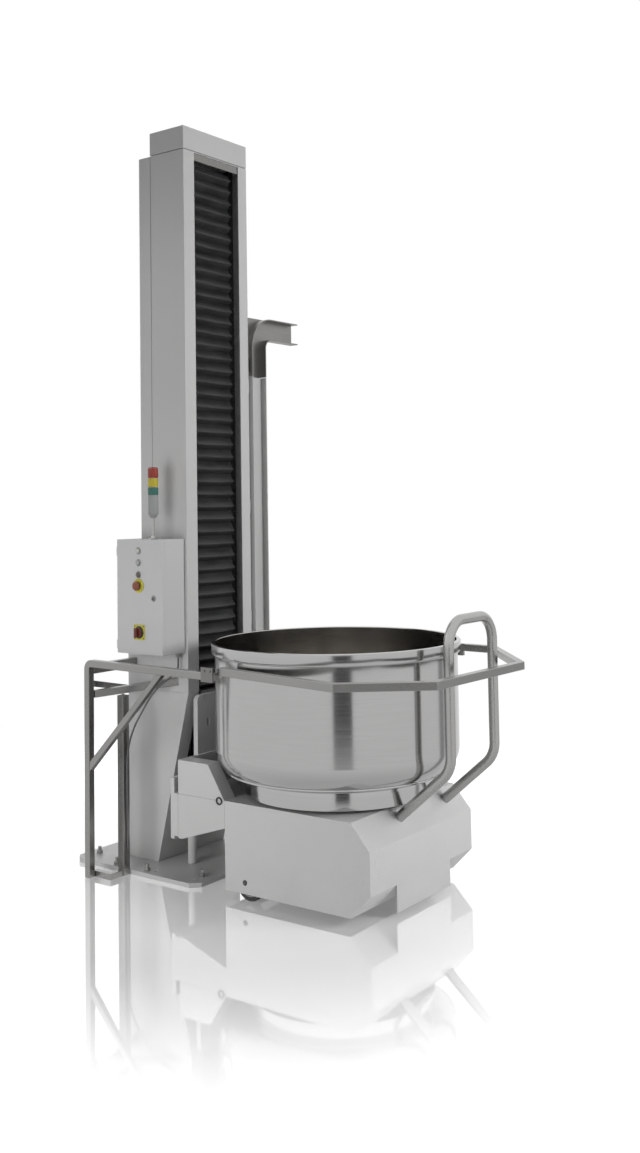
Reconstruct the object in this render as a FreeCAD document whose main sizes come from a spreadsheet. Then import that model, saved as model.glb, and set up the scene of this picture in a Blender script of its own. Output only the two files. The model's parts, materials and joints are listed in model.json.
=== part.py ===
import FreeCAD, Part
import Sketcher
import math
import os
import sys

V = FreeCAD.Vector
X, Y, Z = V(1, 0, 0), V(0, 1, 0), V(0, 0, 1)
os.makedirs("parts", exist_ok=True)
doc = FreeCAD.newDocument("BowlLift")
sheet = doc.addObject("Spreadsheet::Sheet", "Dims")

# Driving sizes in millimetres and degrees. x runs across the column, y into it, z up.
SIZES = {
    # clearances
    "run_gap": 0.05, "move_gap": 0.3,
    # floor plate
    "plate_width": 714, "plate_depth": 714, "plate_thick": 18, "plate_corner": 35,
    "anchor_x": 312, "anchor_y": 302, "anchor_mid_y": -92, "anchor_hole": 18,
    "screw_dia": 16, "screw_head": 27.7, "screw_head_high": 13, "screw_stand": 16,
    "screw_x_corner": 258, "screw_y_corner": 301, "screw_x_side": 329, "screw_y_front": -58,
    "screw_y_rear": 120,
    # column and pedestal
    "column_wide": 424, "column_deep": 202, "column_front": -192, "sheet_wall": 4,
    "column_low": 746, "column_high": 3087, "slot_left": -143, "slot_right": 154,
    "ped_toe": -10, "ped_rear": 164, "ped_rear_high": 960, "ped_slot_low": 440,
    "ped_slot_deep": 30, "cap_gap": 3, "cap_high": 100, "cap_inset": 20,
    "cover_deep": 64, "cover_lip": 4, "cover_wall": 3, "cover_drop": 2,
    "lintel_wide": 340, "lintel_tall": 33,
    # bellows
    "bellows_left": -140, "bellows_right": 151, "bellows_set": 20, "bellows_deep": 40,
    "bellows_fold": 14, "bellows_gap": 0.5, "pleat_count": 42,
    # chain drive
    "rail_size": 30, "rail_set": 80, "rail_low": 580, "rail_drop": 7,
    "sprocket_radius": 50, "chain_thick": 12, "chain_wide": 14, "chain_set": 143,
    "sprocket_low_z": 300, "sprocket_drop": 97, "axle_dia": 24, "tooth_count": 16,
    "tooth_foot": 12, "tooth_tip": 5, "tooth_deep": 6,
    "drive_wide": 120, "drive_low": 240, "drive_top": 360, "drive_deep": 95, "drive_set": 5,
    "drive_foot": 24, "motor_dia": 100, "motor_long": 190,
    # carriage
    "carriage_wide": 366, "carriage_x": 0, "carriage_low": 320, "carriage_high": 735,
    "carriage_thick": 23, "carriage_gap": 2, "carriage_corner": 25,
    "notch_x": -135, "notch_wide": 5, "notch_deep": 30, "oblong_x": -116, "oblong_z": 617,
    "oblong_long": 30, "oblong_wide": 12,
    "frame_left": -132, "frame_right": 143, "frame_low": 600, "frame_high": 880,
    "frame_deep": 110, "frame_thin": 70, "frame_wall": 12, "foot_high": 10,
    "shoe_high": 40, "shoe_low_z": 630, "shoe_high_z": 815, "shoe_wrap": 8, "shoe_gap": 2,
    "clamp_low": 700, "clamp_high": 780, "clamp_wide": 16, "stop_plate": 12, "stop_side": 4,
    # pivot
    "pivot_x": 108, "pivot_z": 410, "shaft_dia": 60, "housing_dia": 84, "housing_back": 43,
    "flange_dia": 140, "flange_thick": 17.4, "tip_gap": 18,
    # tipping frame
    "tip_wide": 742, "tip_plate_thick": 21, "tip_plate_low": 188, "tip_plate_high": 433,
    "tip_plate_peak": 508, "peak_wide": 300, "tip_space": 21,
    "spacer_left": 90, "spacer_right": 130, "spacer_lift": 12,
    "beam_high": 372, "beam_back_low": 194, "beam_front_low": 268, "beam_foot": 20,
    "beam_wall": 6, "arm_wide": 70, "arm_high": 508, "arm_flat": 161, "web_thick": 10,
    "lever_x": 275, "lever_z": 773.4, "lever_wide": 80, "boss_dia": 120,
    "roller_dia": 80, "roller_wide": 25.5,
    "roller_gap": 22, "roller_pin": 20, "roller_collar": 32, "pin_end": 1,
    "ring_dia": 26, "ring_wire": 6,
    # guide
    "guide_left": 225, "guide_wide": 100, "guide_out": 14, "guide_deep": 34,
    "guide_low": 720, "guide_top": 2125, "guide_wall": 5,
    "bracket_high": 60, "bracket_set": 14, "bracket_thick": 8,
    "bracket_low_z": 1000, "bracket_mid_z": 1500, "bracket_high_z": 2050, "bracket_curve": 20,
    "curve_low": 2127, "curve_high": 2402, "curve_right": 568, "curve_deep": 44,
    "curve_bend": 140,
    # control box
    "box_deep": 264, "box_set": 14, "box_wide": 118, "box_low": 916, "box_high": 1398,
    "box_wall": 2, "door_thick": 17.7, "door_gap": 0.3, "hinge_dia": 10, "hinge_long": 38,
    "hinge_low_rise": 35, "hinge_high_drop": 50, "hinge_leaf": 24, "hinge_lug": 6, "hinge_hold": 1,
    "button_dia": 22, "bezel_dia": 30, "bezel_high": 4, "button_high": 6, "button_sink": 2,
    "button_set": 136, "button_drop": 48, "button_pitch": 50,
    "stop_set": 135, "stop_drop": 47, "stop_disc": 60, "stop_head": 40, "stop_head_high": 14,
    "stop_stem": 16, "stop_collar": 6, "stop_travel": 4,
    "lock_set": 49, "lock_drop": 51, "lock_dia": 20, "lock_ring": 26, "lock_high": 5,
    "lock_ring_high": 3, "lock_bit": 6, "lock_bit_long": 14,
    "switch_set": 132, "switch_drop": 144, "switch_plate": 64, "switch_plate_high": 3,
    "switch_hub_high": 4, "knob_dia": 34, "knob_high": 24, "knob_disc": 6, "knob_grip": 12,
    # stack light
    "pole_in": 97, "pole_set": 85, "pole_dia": 13, "pole_long": 90, "pole_foot": 40,
    "pole_foot_high": 6, "lamp_dia": 45,
    "lamp_base_high": 96, "lamp_green_high": 34, "lamp_amber_high": 39, "lamp_red_high": 46,
    # cable
    "cable_dia": 8, "gland_dia": 22, "gland_high": 18, "gland_in": 17, "gland_set": 24,
    "cable_drop": 60, "cable_turn_x": -292, "cable_turn_set": 124, "cable_turn_z": 760,
    "cable_post_z": 560, "cable_end_z": 110, "cable_bend_most": 400,
    # guards
    "tube": 30, "guard_top": 899, "guard_bend": 40, "post_left_x": -481, "post_y": 123,
    "post_right_x": 569, "rail_angle_left": 3.1, "rail_angle_right": 1.6, "guard_left_end": -626,
    "guard_right_end": -1042, "weld_gap": 1, "tie_low_z": 752, "tie_high_z": 790, "tie_set": 75,
    "strut_high_z": 797, "strut_low_z": 742, "strut_size": 25,
    "post_mid_x": -376, "post_mid_size": 35, "post_mid_under": 8, "stud_dia": 12, "stud_high": 5,
    "rear_rail_low": 838, "rear_rail_high": 878,
    "brace_low_z": 478, "brace_reach": 440, "brace_thin": 3, "brace_high": 40, "brace_top": 30,
    "foot_rail": 25,
    "gate_low": 890, "gate_gap": 12, "gate_hinge_x": 604, "gate_hinge_dia": 16, "gate_link": 14,
    "gate_link_long": 27, "hinge_foot_high": 21, "gate_slit": 7,
    "gate_start_x": -528, "gate_left_x": -634, "gate_left_y": -1250,
    "gate_front_left_x": -409, "gate_front_left_y": -1535,
    "gate_front_right_x": 204, "gate_front_right_y": -1556,
    "gate_right_x": 609, "gate_right_y": -1220, "gate_end_in": 13, "gate_end_drop": 24,
    "safety_long": 63, "safety_high": 56, "safety_thick": 8, "safety_rise": 8,
    "safety_screw": 8, "safety_screw_high": 3, "safety_screw_in": 14, "safety_screw_far": 44,
    "buffer_dia": 38, "buffer_x": 140, "buffer_set": 51,
    # trolley
    "trolley_reach": 334, "trolley_wide": 740, "trolley_wall": 4, "trolley_deep": 604,
    "nose_deep": 82, "deck_z": 376, "skirt_z": 33, "nose_top_z": 281,
    "nose_low_z": 123, "nose_foot": 6, "apron_wide": 388, "apron_low": 20, "apron_thick": 6,
    "wheel_dia": 125, "wheel_wide": 32, "wheel_x": 336, "wheel_set": 105, "wheel_axle": 20,
    "wheel_side_gap": 4, "wheel_dish": 5, "hub_wall": 8,
    "axle_beam_deep": 60, "axle_beam_high": 44, "hanger_thick": 10, "hanger_in": 50,
    "castor_dia": 100, "castor_wide": 32, "castor_set": 100, "castor_trail": 28,
    "castor_pin": 10, "castor_seat_wide": 120, "castor_seat_deep": 90, "castor_seat_thick": 10,
    "fork_wall": 5, "fork_gap": 2, "fork_plate": 8, "fork_plate_z": 128, "fork_back": 30,
    "fork_front": 12, "fork_eye": 14, "stem_dia": 20, "stem_over": 12,
    "bearing_inner": 300, "bearing_outer": 340, "bearing_high": 12,
    # handle
    "handle_x": 82, "handle_spacing": 340, "handle_dia": 40, "handle_wall": 3,
    "handle_out": 180, "handle_top": 1110, "handle_bend": 100, "handle_low_bend": 110,
    "handle_seat": 47,
    # bowl
    "bowl_reach": 285, "bowl_radius": 493, "bowl_wall": 4, "bowl_high": 986, "bowl_low": 460,
    "bowl_corner": 108, "band_radius": 506, "band_low": 941, "bead_radius": 5, "lip_drop": 2,
    "bowl_skirt_radius": 374, "bowl_skirt_wall": 6, "skirt_flange": 93,
}


class Size:
    # A value with the spreadsheet expression that gives it.
    def __init__(self, text, value):
        self.text = text
        self.value = value

    def __add__(self, other):
        other = size(other)
        return Size(f"({self.text} + {other.text})", self.value + other.value)

    def __radd__(self, other):
        return size(other) + self

    def __sub__(self, other):
        other = size(other)
        return Size(f"({self.text} - {other.text})", self.value - other.value)

    def __rsub__(self, other):
        return size(other) - self

    def __mul__(self, other):
        other = size(other)
        return Size(f"({self.text} * {other.text})", self.value * other.value)

    def __rmul__(self, other):
        return size(other) * self

    def __truediv__(self, other):
        other = size(other)
        return Size(f"({self.text} / {other.text})", self.value / other.value)

    def __neg__(self):
        return Size(f"(0 - {self.text})", -self.value)


def size(value):
    if isinstance(value, Size):
        return value
    return Size(f"({float(value)!r})", float(value))


class Dims:
    pass


d = Dims()
for row, (alias, value) in enumerate(SIZES.items(), start=1):
    sheet.set(f"A{row}", alias)
    sheet.set(f"B{row}", str(value))
    sheet.setAlias(f"B{row}", alias)
    setattr(d, alias, Size(f"Dims.{alias}", float(value)))
doc.recompute()

nodes = []


def bind(item, prop, value):
    item.setExpression(prop, size(value).text)


def keep(item, label):
    item.Label = label
    nodes.append(item)
    return item


def place(item, x=None, y=None, z=None, rotation=None):
    if rotation is not None:
        item.Placement = FreeCAD.Placement(V(), rotation)
    for axis, value in (("x", x), ("y", y), ("z", z)):
        if value is not None:
            bind(item, f"Placement.Base.{axis}", value)
    return item


def box(name, x, y, z):
    item = doc.addObject("Part::Box", name)
    for prop, (low, high) in (("Length", x), ("Width", y), ("Height", z)):
        bind(item, prop, size(high) - low)
    return place(item, x[0], y[0], z[0])


def cylinder(name, radius, length, at, axis=Z):
    item = doc.addObject("Part::Cylinder", name)
    bind(item, "Radius", radius)
    bind(item, "Height", length)
    return place(item, *at, rotation=FreeCAD.Rotation(Z, axis))


def torus(name, ring, wire, at, axis=Z):
    item = doc.addObject("Part::Torus", name)
    bind(item, "Radius1", ring)
    bind(item, "Radius2", wire)
    return place(item, *at, rotation=FreeCAD.Rotation(Z, axis))


def fuse(name, items):
    item = doc.addObject("Part::MultiFuse", name)
    item.Shapes = items
    return item


def cut(name, base, tool):
    item = doc.addObject("Part::Cut", name)
    item.Base = base
    item.Tool = tool
    return item


def body(name):
    return doc.addObject("PartDesign::Body", name)


def origin_plane(owner, role):
    return next(f for f in owner.Origin.OriginFeatures if f.Role == role)


def sketch(owner, name, role, offset):
    item = owner.newObject("Sketcher::SketchObject", name)
    item.AttachmentSupport = (origin_plane(owner, role), "")
    item.MapMode = "FlatFace"
    bind(item, "AttachmentOffset.Base.z", offset)
    return item


def pin_point(item, geo, end, u, v):
    # Holds a point of a sketch at (u, v) from the sketch origin.
    for kind, value in (("DistanceX", size(u)), ("DistanceY", size(v))):
        if abs(value.value) < 1e-9:
            axis = -2 if kind == "DistanceX" else -1
            item.addConstraint(Sketcher.Constraint("PointOnObject", geo, end, axis))
            continue
        index = item.addConstraint(Sketcher.Constraint(kind, -1, 1, geo, end, value.value))
        item.setExpression(f"Constraints[{index}]", value.text)


def polygon(item, points):
    spots = [V(size(u).value, size(v).value, 0) for u, v in points]
    first = item.GeometryCount
    count = len(spots)
    for i in range(count):
        item.addGeometry(Part.LineSegment(spots[i], spots[(i + 1) % count]), False)
    for i in range(count):
        item.addConstraint(Sketcher.Constraint("Coincident", first + i, 2, first + (i + 1) % count, 1))
    for i, (u, v) in enumerate(points):
        pin_point(item, first + i, 1, u, v)


def circle(item, radius, u, v):
    radius = size(radius)
    index = item.addGeometry(Part.Circle(V(size(u).value, size(v).value, 0), Z, radius.value), False)
    held = item.addConstraint(Sketcher.Constraint("Radius", index, radius.value))
    item.setExpression(f"Constraints[{held}]", radius.text)
    pin_point(item, index, 3, u, v)


def pad(owner, drawn, length, name):
    item = owner.newObject("PartDesign::Pad", name)
    item.Profile = drawn
    bind(item, "Length", length)
    return item


def pocket(owner, drawn, length, name):
    item = owner.newObject("PartDesign::Pocket", name)
    item.Profile = drawn
    item.Reversed = True
    bind(item, "Length", length)
    return item


def profile(owner, name, role, points, low, high, removing=False):
    # A closed outline on one origin plane, padded or pocketed from low to high on its normal.
    drawn = sketch(owner, f"{name}_sketch", role, low)
    polygon(drawn, points)
    make = pocket if removing else pad
    return make(owner, drawn, size(high) - low, name)


def prism_x(name, points, low, high):
    owner = body(name)
    profile(owner, f"{name}_pad", "YZ_Plane", points, low, high)
    return owner


def prism_y(name, points, low, high):
    owner = body(name)
    profile(owner, f"{name}_pad", "XZ_Plane", points, -size(high), -size(low))
    return owner


def prism_z(name, points, low, high):
    owner = body(name)
    profile(owner, f"{name}_pad", "XY_Plane", points, low, high)
    return owner


def edges_at(item, test):
    found = []
    for index, edge in enumerate(item.Shape.Edges, start=1):
        if test(edge):
            found.append(f"Edge{index}")
    return found


def round_edges(owner, base, radius, test, name):
    doc.recompute()
    item = owner.newObject("PartDesign::Fillet", name)
    item.Base = (base, edges_at(base, test))
    bind(item, "Radius", radius)
    return item


def is_along(edge, axis, **near):
    ends = [v.Point for v in edge.Vertexes]
    if len(ends) != 2:
        return False
    run = ends[1] - ends[0]
    if run.Length < 1e-6 or run.normalize().cross(axis).Length > 1e-6:
        return False
    middle = (ends[0] + ends[1]) * 0.5
    return all(abs(getattr(middle, key) - size(value).value) < 0.01 for key, value in near.items())


def slab(points, low, high, axis):
    # A plain polygon prism for shapes that are set directly.
    face = Part.Face(Part.makePolygon(points + points[:1]))
    return face.extrude(axis * (high - low))


def tube_path(points, radii):
    # Straight runs through the points, joined by tangent arcs.
    edges = []
    start = points[0]
    for before, corner, after, radius in zip(points, points[1:], points[2:], radii):
        into = (corner - before).normalize()
        out = (after - corner).normalize()
        turn = into.getAngle(out)
        trim = radius * math.tan(turn / 2)
        first = corner - into * trim
        last = corner + out * trim
        inward = (out - into).normalize()
        centre = corner + inward * (radius / math.cos(turn / 2))
        middle = centre - inward * radius
        edges.append(Part.LineSegment(start, first).toShape())
        edges.append(Part.Arc(first, middle, last).toShape())
        start = last
    edges.append(Part.LineSegment(start, points[-1]).toShape())
    return Part.Wire(edges)


def round_tube(wire, radius):
    start = wire.Edges[0].Vertexes[0].Point
    along = wire.Edges[0].tangentAt(wire.Edges[0].FirstParameter)
    ring = Part.Wire(Part.makeCircle(radius, start, along))
    return wire.makePipeShell([ring], True, True)


def direct(name, shape):
    item = doc.addObject("Part::Feature", name)
    item.Shape = shape
    item.Placement = FreeCAD.Placement(V(), FreeCAD.Rotation())
    return item


# Places that follow from the column
half_column = d.column_wide / 2
column_rear = d.column_front + d.column_deep
wall = d.sheet_wall
lintel_top = d.column_high - wall
lintel_low = lintel_top - d.lintel_tall
rail_high = d.column_high - d.rail_drop
cover_high = d.column_high - d.cover_drop
sprocket_high_z = d.column_high - d.sprocket_drop
guide_front = d.column_front - d.guide_out
buffer_y = d.column_front + d.buffer_set
tie_column_y = d.column_front + d.tie_set
carriage_back = d.column_front - d.carriage_gap
carriage_face = carriage_back - d.carriage_thick

# Places on the control box
box_right = -half_column - d.cover_wall
box_left = box_right - d.box_wide
box_front = d.column_front + d.box_set
box_rear = box_front + d.box_deep
door_right = box_left - d.door_gap
door_face = door_right - d.door_thick
hinge_x = door_right - d.door_thick / 2
hinge_y = box_rear + d.hinge_dia / 2
hinge_low_z = d.box_low + d.hinge_low_rise
hinge_high_z = d.box_high - d.hinge_high_drop
button_row = box_front + d.button_set
button_top_z = d.box_high - d.button_drop
button_mid_z = button_top_z - d.button_pitch
button_red_z = button_mid_z - d.button_pitch
stop_row = box_front + d.stop_set
stop_z = button_red_z - d.stop_drop
lock_row = box_front + d.lock_set
lock_z = stop_z - d.lock_drop
switch_row = box_front + d.switch_set
switch_z = lock_z - d.switch_drop
pole_x = box_right - d.pole_in
pole_y = box_front + d.pole_set
pole_high = d.box_high + d.pole_long
gland_x = box_right - d.gland_in
gland_y = box_front + d.gland_set

# Places of the trolley and the gate
trolley_back = d.column_front - d.trolley_reach
trolley_front = trolley_back - d.trolley_deep
trolley_nose = trolley_front - d.nose_deep
wheel_y = trolley_back - d.wheel_set
castor_y = trolley_front + d.castor_set
bowl_y = trolley_back - d.bowl_reach
bearing_top = d.deck_z + d.bearing_high
handle_plane = trolley_nose - d.handle_out
gate_hinge_y = d.guard_right_end - d.gate_gap


def floor_plate():
    half_x = d.plate_width / 2
    half_y = d.plate_depth / 2
    corner = d.plate_corner
    outline = [(-half_x, corner - half_y), (corner - half_x, -half_y), (half_x - corner, -half_y),
               (half_x, corner - half_y), (half_x, half_y - corner), (half_x - corner, half_y),
               (corner - half_x, half_y), (-half_x, half_y - corner)]
    owner = prism_z("base_plate", outline, 0, d.plate_thick)
    holes = sketch(owner, "base_holes", "XY_Plane", 0)
    for side in (-1, 1):
        for y in (-d.anchor_y, d.anchor_mid_y, d.anchor_y):
            circle(holes, d.anchor_hole / 2, side * d.anchor_x, y)
        for x, y in screw_spots():
            circle(holes, d.screw_dia / 2, side * x, y)
    pocket(owner, holes, d.plate_thick, "base_hole_cut")
    keep(owner, "base_plate")


def screw_spots():
    return [(d.screw_x_corner, -d.screw_y_corner), (d.screw_x_side, d.screw_y_front),
            (d.screw_x_side, d.screw_y_rear), (d.screw_x_corner, d.screw_y_corner)]


def levelling_screws():
    screws = []
    for side in (-1, 1):
        for x, y in screw_spots():
            tag = len(screws)
            shank = cylinder(f"screw_shank_{tag}", d.screw_dia / 2,
                             d.plate_thick + d.screw_head_high + d.screw_stand, (side * x, y, 0))
            nut = doc.addObject("Part::Prism", f"screw_nut_{tag}")
            nut.Polygon = 6
            bind(nut, "Circumradius", d.screw_head / 2)
            bind(nut, "Height", d.screw_head_high)
            place(nut, side * x, y, d.plate_thick)
            screws.append(fuse(f"screw_{tag}", [shank, nut]))
    keep(fuse("levelling_screws", screws), "levelling_screws")


def pedestal():
    low = d.plate_thick
    front = d.column_front
    owner = prism_x("pedestal_shell",
                    [(d.ped_toe, low), (d.ped_rear, low), (d.ped_rear, d.ped_rear_high),
                     (column_rear, d.ped_rear_high), (column_rear, d.column_low), (front, d.column_low)],
                    -half_column, half_column)
    slope = (d.column_front - d.ped_toe) / (d.column_low - low)
    skin = wall * 1.04
    inner = [(d.ped_toe + skin + slope * wall, low + wall), (d.ped_rear - wall, low + wall),
             (d.ped_rear - wall, d.ped_rear_high - wall), (column_rear + wall, d.ped_rear_high - wall),
             (column_rear + wall, d.column_low), (column_rear - wall, d.column_low),
             (front + skin, d.column_low)]
    profile(owner, "pedestal_hollow", "YZ_Plane", inner, wall - half_column, half_column - wall, True)
    profile(owner, "pedestal_slot", "XZ_Plane",
            [(d.slot_left, d.ped_slot_low), (d.slot_right, d.ped_slot_low),
             (d.slot_right, d.column_low), (d.slot_left, d.column_low)],
            -(d.ped_toe - d.ped_slot_deep), -(front - wall), True)
    keep(owner, "pedestal_shell")


def column():
    front = d.column_front
    outer = box("column_outer", (-half_column, half_column), (front, column_rear),
                (d.column_low, d.column_high))
    inner = box("column_inner", (wall - half_column, half_column - wall),
                (front + wall, column_rear - wall), (d.column_low, d.column_high - wall))
    slot = box("column_slot", (d.slot_left, d.slot_right), (front, front + wall),
               (d.column_low, d.column_high - wall))
    shell = cut("column_walls", outer, fuse("column_void", [inner, slot]))
    axle = cylinder("column_axle", d.axle_dia / 2, column_rear - wall - (front + d.chain_set),
                    (0, column_rear - wall, sprocket_high_z), -Y)
    keep(fuse("column_shell", [shell, axle]), "column_shell")


def cap():
    low = d.column_high + d.cap_gap
    high = low + d.cap_high
    outer = box("cap_outer", (-half_column, half_column), (d.column_front, column_rear), (low, high))
    inner = box("cap_inner", (wall - half_column, half_column - wall),
                (d.column_front + wall, column_rear - wall), (low + wall, high - wall))
    plinth = box("cap_plinth", (d.cap_inset - half_column, half_column - d.cap_inset),
                 (d.column_front + d.cap_inset, column_rear - d.cap_inset), (d.column_high, low))
    keep(fuse("top_cap", [cut("cap_shell", outer, inner), plinth]), "top_cap")


def rear_cover():
    edge = half_column + d.cover_wall
    back = column_rear + d.cover_deep
    outer = box("cover_outer", (-edge, edge), (column_rear - d.cover_lip, back),
                (d.ped_rear_high, cover_high))
    inner = box("cover_inner", (-half_column, half_column), (column_rear - d.cover_lip, back - d.cover_wall),
                (d.ped_rear_high, cover_high - d.cover_wall))
    lip = box("cover_top_lip", (-half_column, half_column), (column_rear - d.cover_lip, column_rear),
              (cover_high - d.cover_wall, cover_high))
    keep(cut("rear_cover", outer, fuse("cover_void", [inner, lip])), "rear_cover")


def lintel():
    keep(box("lintel_strip", (-d.lintel_wide / 2, d.lintel_wide / 2),
             (d.column_front + wall, d.column_front + 2 * wall), (lintel_low, lintel_top)),
         "lintel_strip")


def rails():
    set_y = d.column_front + d.rail_set
    left = box("rail_left", (wall - half_column, wall + d.rail_size - half_column),
               (set_y, set_y + d.rail_size), (d.rail_low, rail_high))
    right = box("rail_right", (half_column - wall - d.rail_size, half_column - wall),
                (set_y, set_y + d.rail_size), (d.rail_low, rail_high))
    keep(fuse("carriage_rails", [left, right]), "carriage_rails")


def gearmotor():
    half = d.drive_wide / 2
    front = column_rear + d.drive_set
    rear = d.ped_rear - wall
    case = box("gearbox_case", (-half, half), (front, front + d.drive_deep), (d.drive_low, d.drive_top))
    mount = box("gearbox_mount", (d.drive_foot - half, half - d.drive_foot), (front + d.drive_deep, rear),
                (d.drive_low + d.drive_foot, d.drive_top - d.drive_foot))
    motor = cylinder("gearbox_motor", d.motor_dia / 2, d.motor_long,
                     (0, front + d.drive_deep / 2, d.drive_top))
    shaft = cylinder("gearbox_shaft", d.axle_dia / 2, front - (d.column_front + d.chain_set),
                     (0, front, d.sprocket_low_z), -Y)
    keep(fuse("drive_gearmotor", [case, mount, motor, shaft]), "drive_gearmotor")


def stadium(name, radius, low_y, high_y):
    length = high_y - low_y
    bar = box(f"{name}_bar", (-radius, radius), (low_y, high_y), (d.sprocket_low_z, sprocket_high_z))
    foot = cylinder(f"{name}_foot", radius, length, (0, high_y, d.sprocket_low_z), -Y)
    head = cylinder(f"{name}_head", radius, length, (0, high_y, sprocket_high_z), -Y)
    return fuse(name, [bar, foot, head])


def chain():
    low = d.column_front + d.chain_set
    high = low + d.chain_wide
    outer = stadium("chain_outer", d.sprocket_radius + d.chain_thick / 2, low, high)
    inner = stadium("chain_inner", d.sprocket_radius - d.chain_thick / 2, low, high)
    keep(cut("lift_chain", outer, inner), "lift_chain")


def sprocket(name, height):
    low = d.column_front + d.chain_set
    radius = d.sprocket_radius - d.chain_thick / 2 - d.move_gap
    owner = body(name)
    disc = sketch(owner, f"{name}_disc_sketch", "XZ_Plane", -(low + d.chain_wide))
    foot = radius - d.tooth_deep
    circle(disc, foot, 0, 0)
    circle(disc, d.axle_dia / 2 + d.run_gap, 0, 0)
    pad(owner, disc, d.chain_wide, f"{name}_disc")
    tooth = sketch(owner, f"{name}_tooth_sketch", "XZ_Plane", -(low + d.chain_wide * 0.75))
    root = foot - d.tooth_deep / 3
    wide = d.tooth_foot / 2
    tip = d.tooth_tip / 2
    polygon(tooth, [(-wide, root), (wide, root), (tip, radius), (-tip, radius)])
    first = pad(owner, tooth, d.chain_wide / 2, f"{name}_tooth")
    ring = owner.newObject("PartDesign::PolarPattern", f"{name}_teeth")
    ring.Originals = [first]
    ring.Axis = (disc, ["N_Axis"])
    ring.Angle = 360
    bind(ring, "Occurrences", d.tooth_count)
    owner.Tip = ring
    place(owner, z=height)
    keep(owner, name)


def bellows():
    front = d.column_front + d.bellows_set
    low = d.carriage_high + d.foot_high + d.bellows_gap
    pitch = (lintel_low - low) / d.pleat_count
    owner = body("bellows")
    pleat = profile(owner, "bellows_pleat", "YZ_Plane",
                    [(front + d.bellows_deep, low), (front + d.bellows_fold, low), (front, low + pitch / 2),
                     (front + d.bellows_fold, low + pitch), (front + d.bellows_deep, low + pitch)],
                    d.bellows_left, d.bellows_right)
    stack = owner.newObject("PartDesign::LinearPattern", "bellows_stack")
    stack.Originals = [pleat]
    stack.Direction = (origin_plane(owner, "Z_Axis"), [""])
    bind(stack, "Length", pitch * (d.pleat_count - 1))
    bind(stack, "Occurrences", d.pleat_count)
    owner.Tip = stack
    keep(owner, "bellows")


def guide():
    left, right = d.guide_left, d.guide_left + d.guide_wide
    front, rear = guide_front, guide_front + d.guide_deep
    w = d.guide_wall
    owner = prism_z("guide_rail",
                    [(left, front), (left + w, front), (left + w, rear - w), (right - w, rear - w),
                     (right - w, front), (right, front), (right, rear), (left, rear)],
                    d.guide_low, d.guide_top)
    parts = [owner]
    for tag, z in (("low", d.bracket_low_z), ("mid", d.bracket_mid_z), ("high", d.bracket_high_z)):
        parts.append(bracket(f"guide_bracket_{tag}", rear, z))
    keep(fuse("guide_channel", parts), "guide_channel")


def bracket(name, rear, z):
    # Flat bar between the column's side and the guide.
    near = rear - d.bracket_set
    return box(name, (half_column, d.guide_left), (near, near + d.bracket_thick), (z, z + d.bracket_high))


def guide_curve():
    left, right = d.guide_left, d.guide_left + d.guide_wide
    front, rear = guide_front, guide_front + d.curve_deep
    w = d.guide_wall
    low, high, end = d.curve_low, d.curve_high, d.curve_right
    inner_high = high - d.guide_wide
    back = body("curve_back")
    plate = profile(back, "curve_back_pad", "XZ_Plane",
                    [(left, low), (right, low), (right, inner_high), (end, inner_high),
                     (end, high), (left, high)],
                    -rear, w - rear)
    round_edges(back, plate, d.curve_bend - d.guide_wide,
                lambda e: is_along(e, Y, x=right, z=inner_high), "curve_back_round")
    outer = body("curve_outer")
    band = profile(outer, "curve_outer_pad", "XZ_Plane",
                   [(left, low), (left + w, low), (left + w, high - w), (end, high - w),
                    (end, high), (left, high)],
                   w - rear, -front)
    first = round_edges(outer, band, d.curve_bend,
                        lambda e: is_along(e, Y, x=left, z=high), "curve_outer_round")
    round_edges(outer, first, d.curve_bend - w,
                lambda e: is_along(e, Y, x=left + w, z=high - w), "curve_outer_inside")
    inner = body("curve_inner")
    strip = profile(inner, "curve_inner_pad", "XZ_Plane",
                    [(right - w, low), (right, low), (right, inner_high), (end, inner_high),
                     (end, inner_high + w), (right - w, inner_high + w)],
                    w - rear, -front)
    second = round_edges(inner, strip, d.curve_bend - d.guide_wide,
                         lambda e: is_along(e, Y, x=right, z=inner_high), "curve_inner_round")
    round_edges(inner, second, d.curve_bend - d.guide_wide + w,
                lambda e: is_along(e, Y, x=right - w, z=inner_high + w), "curve_inner_outside")
    foot = bracket("curve_foot", rear, low + d.bracket_curve)
    keep(fuse("guide_curve", [back, outer, inner, foot]), "guide_curve")


def control_box():
    w = d.box_wall
    outer = box("cabinet_outer", (box_left, box_right), (box_front, box_rear), (d.box_low, d.box_high))
    inner = box("cabinet_inner", (box_left, box_right - w), (box_front + w, box_rear - w),
                (d.box_low + w, d.box_high - w))
    leaves = [hinge_leaf(tag, z) for tag, z in (("low", hinge_low_z), ("high", hinge_high_z))]
    keep(fuse("control_box", [cut("cabinet_shell", outer, inner)] + leaves), "control_box")
    gland = cylinder("gland_nut", d.gland_dia / 2, d.gland_high, (gland_x, gland_y, d.box_low - d.gland_high))
    keep(gland, "cable_gland")


def hinge_leaf(tag, z):
    # Fixed knuckle at the lower half of each hinge, with the pin that the door turns on.
    low = z - d.hinge_long / 2
    at = (hinge_x, hinge_y, low)
    knuckle = cylinder(f"hinge_knuckle_{tag}", d.hinge_dia / 2, d.hinge_long / 2, at)
    pin = cylinder(f"hinge_pin_{tag}", d.hinge_dia / 4, d.hinge_long, at)
    leaf = box(f"hinge_leaf_{tag}", (hinge_x, box_left + d.hinge_leaf), (box_rear, hinge_y), (low, z))
    trim = cylinder(f"hinge_trim_{tag}", d.hinge_dia / 2, d.hinge_long / 2, at)
    return fuse(f"hinge_fixed_{tag}", [knuckle, pin, cut(f"hinge_plate_{tag}", leaf, trim)])


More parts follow.
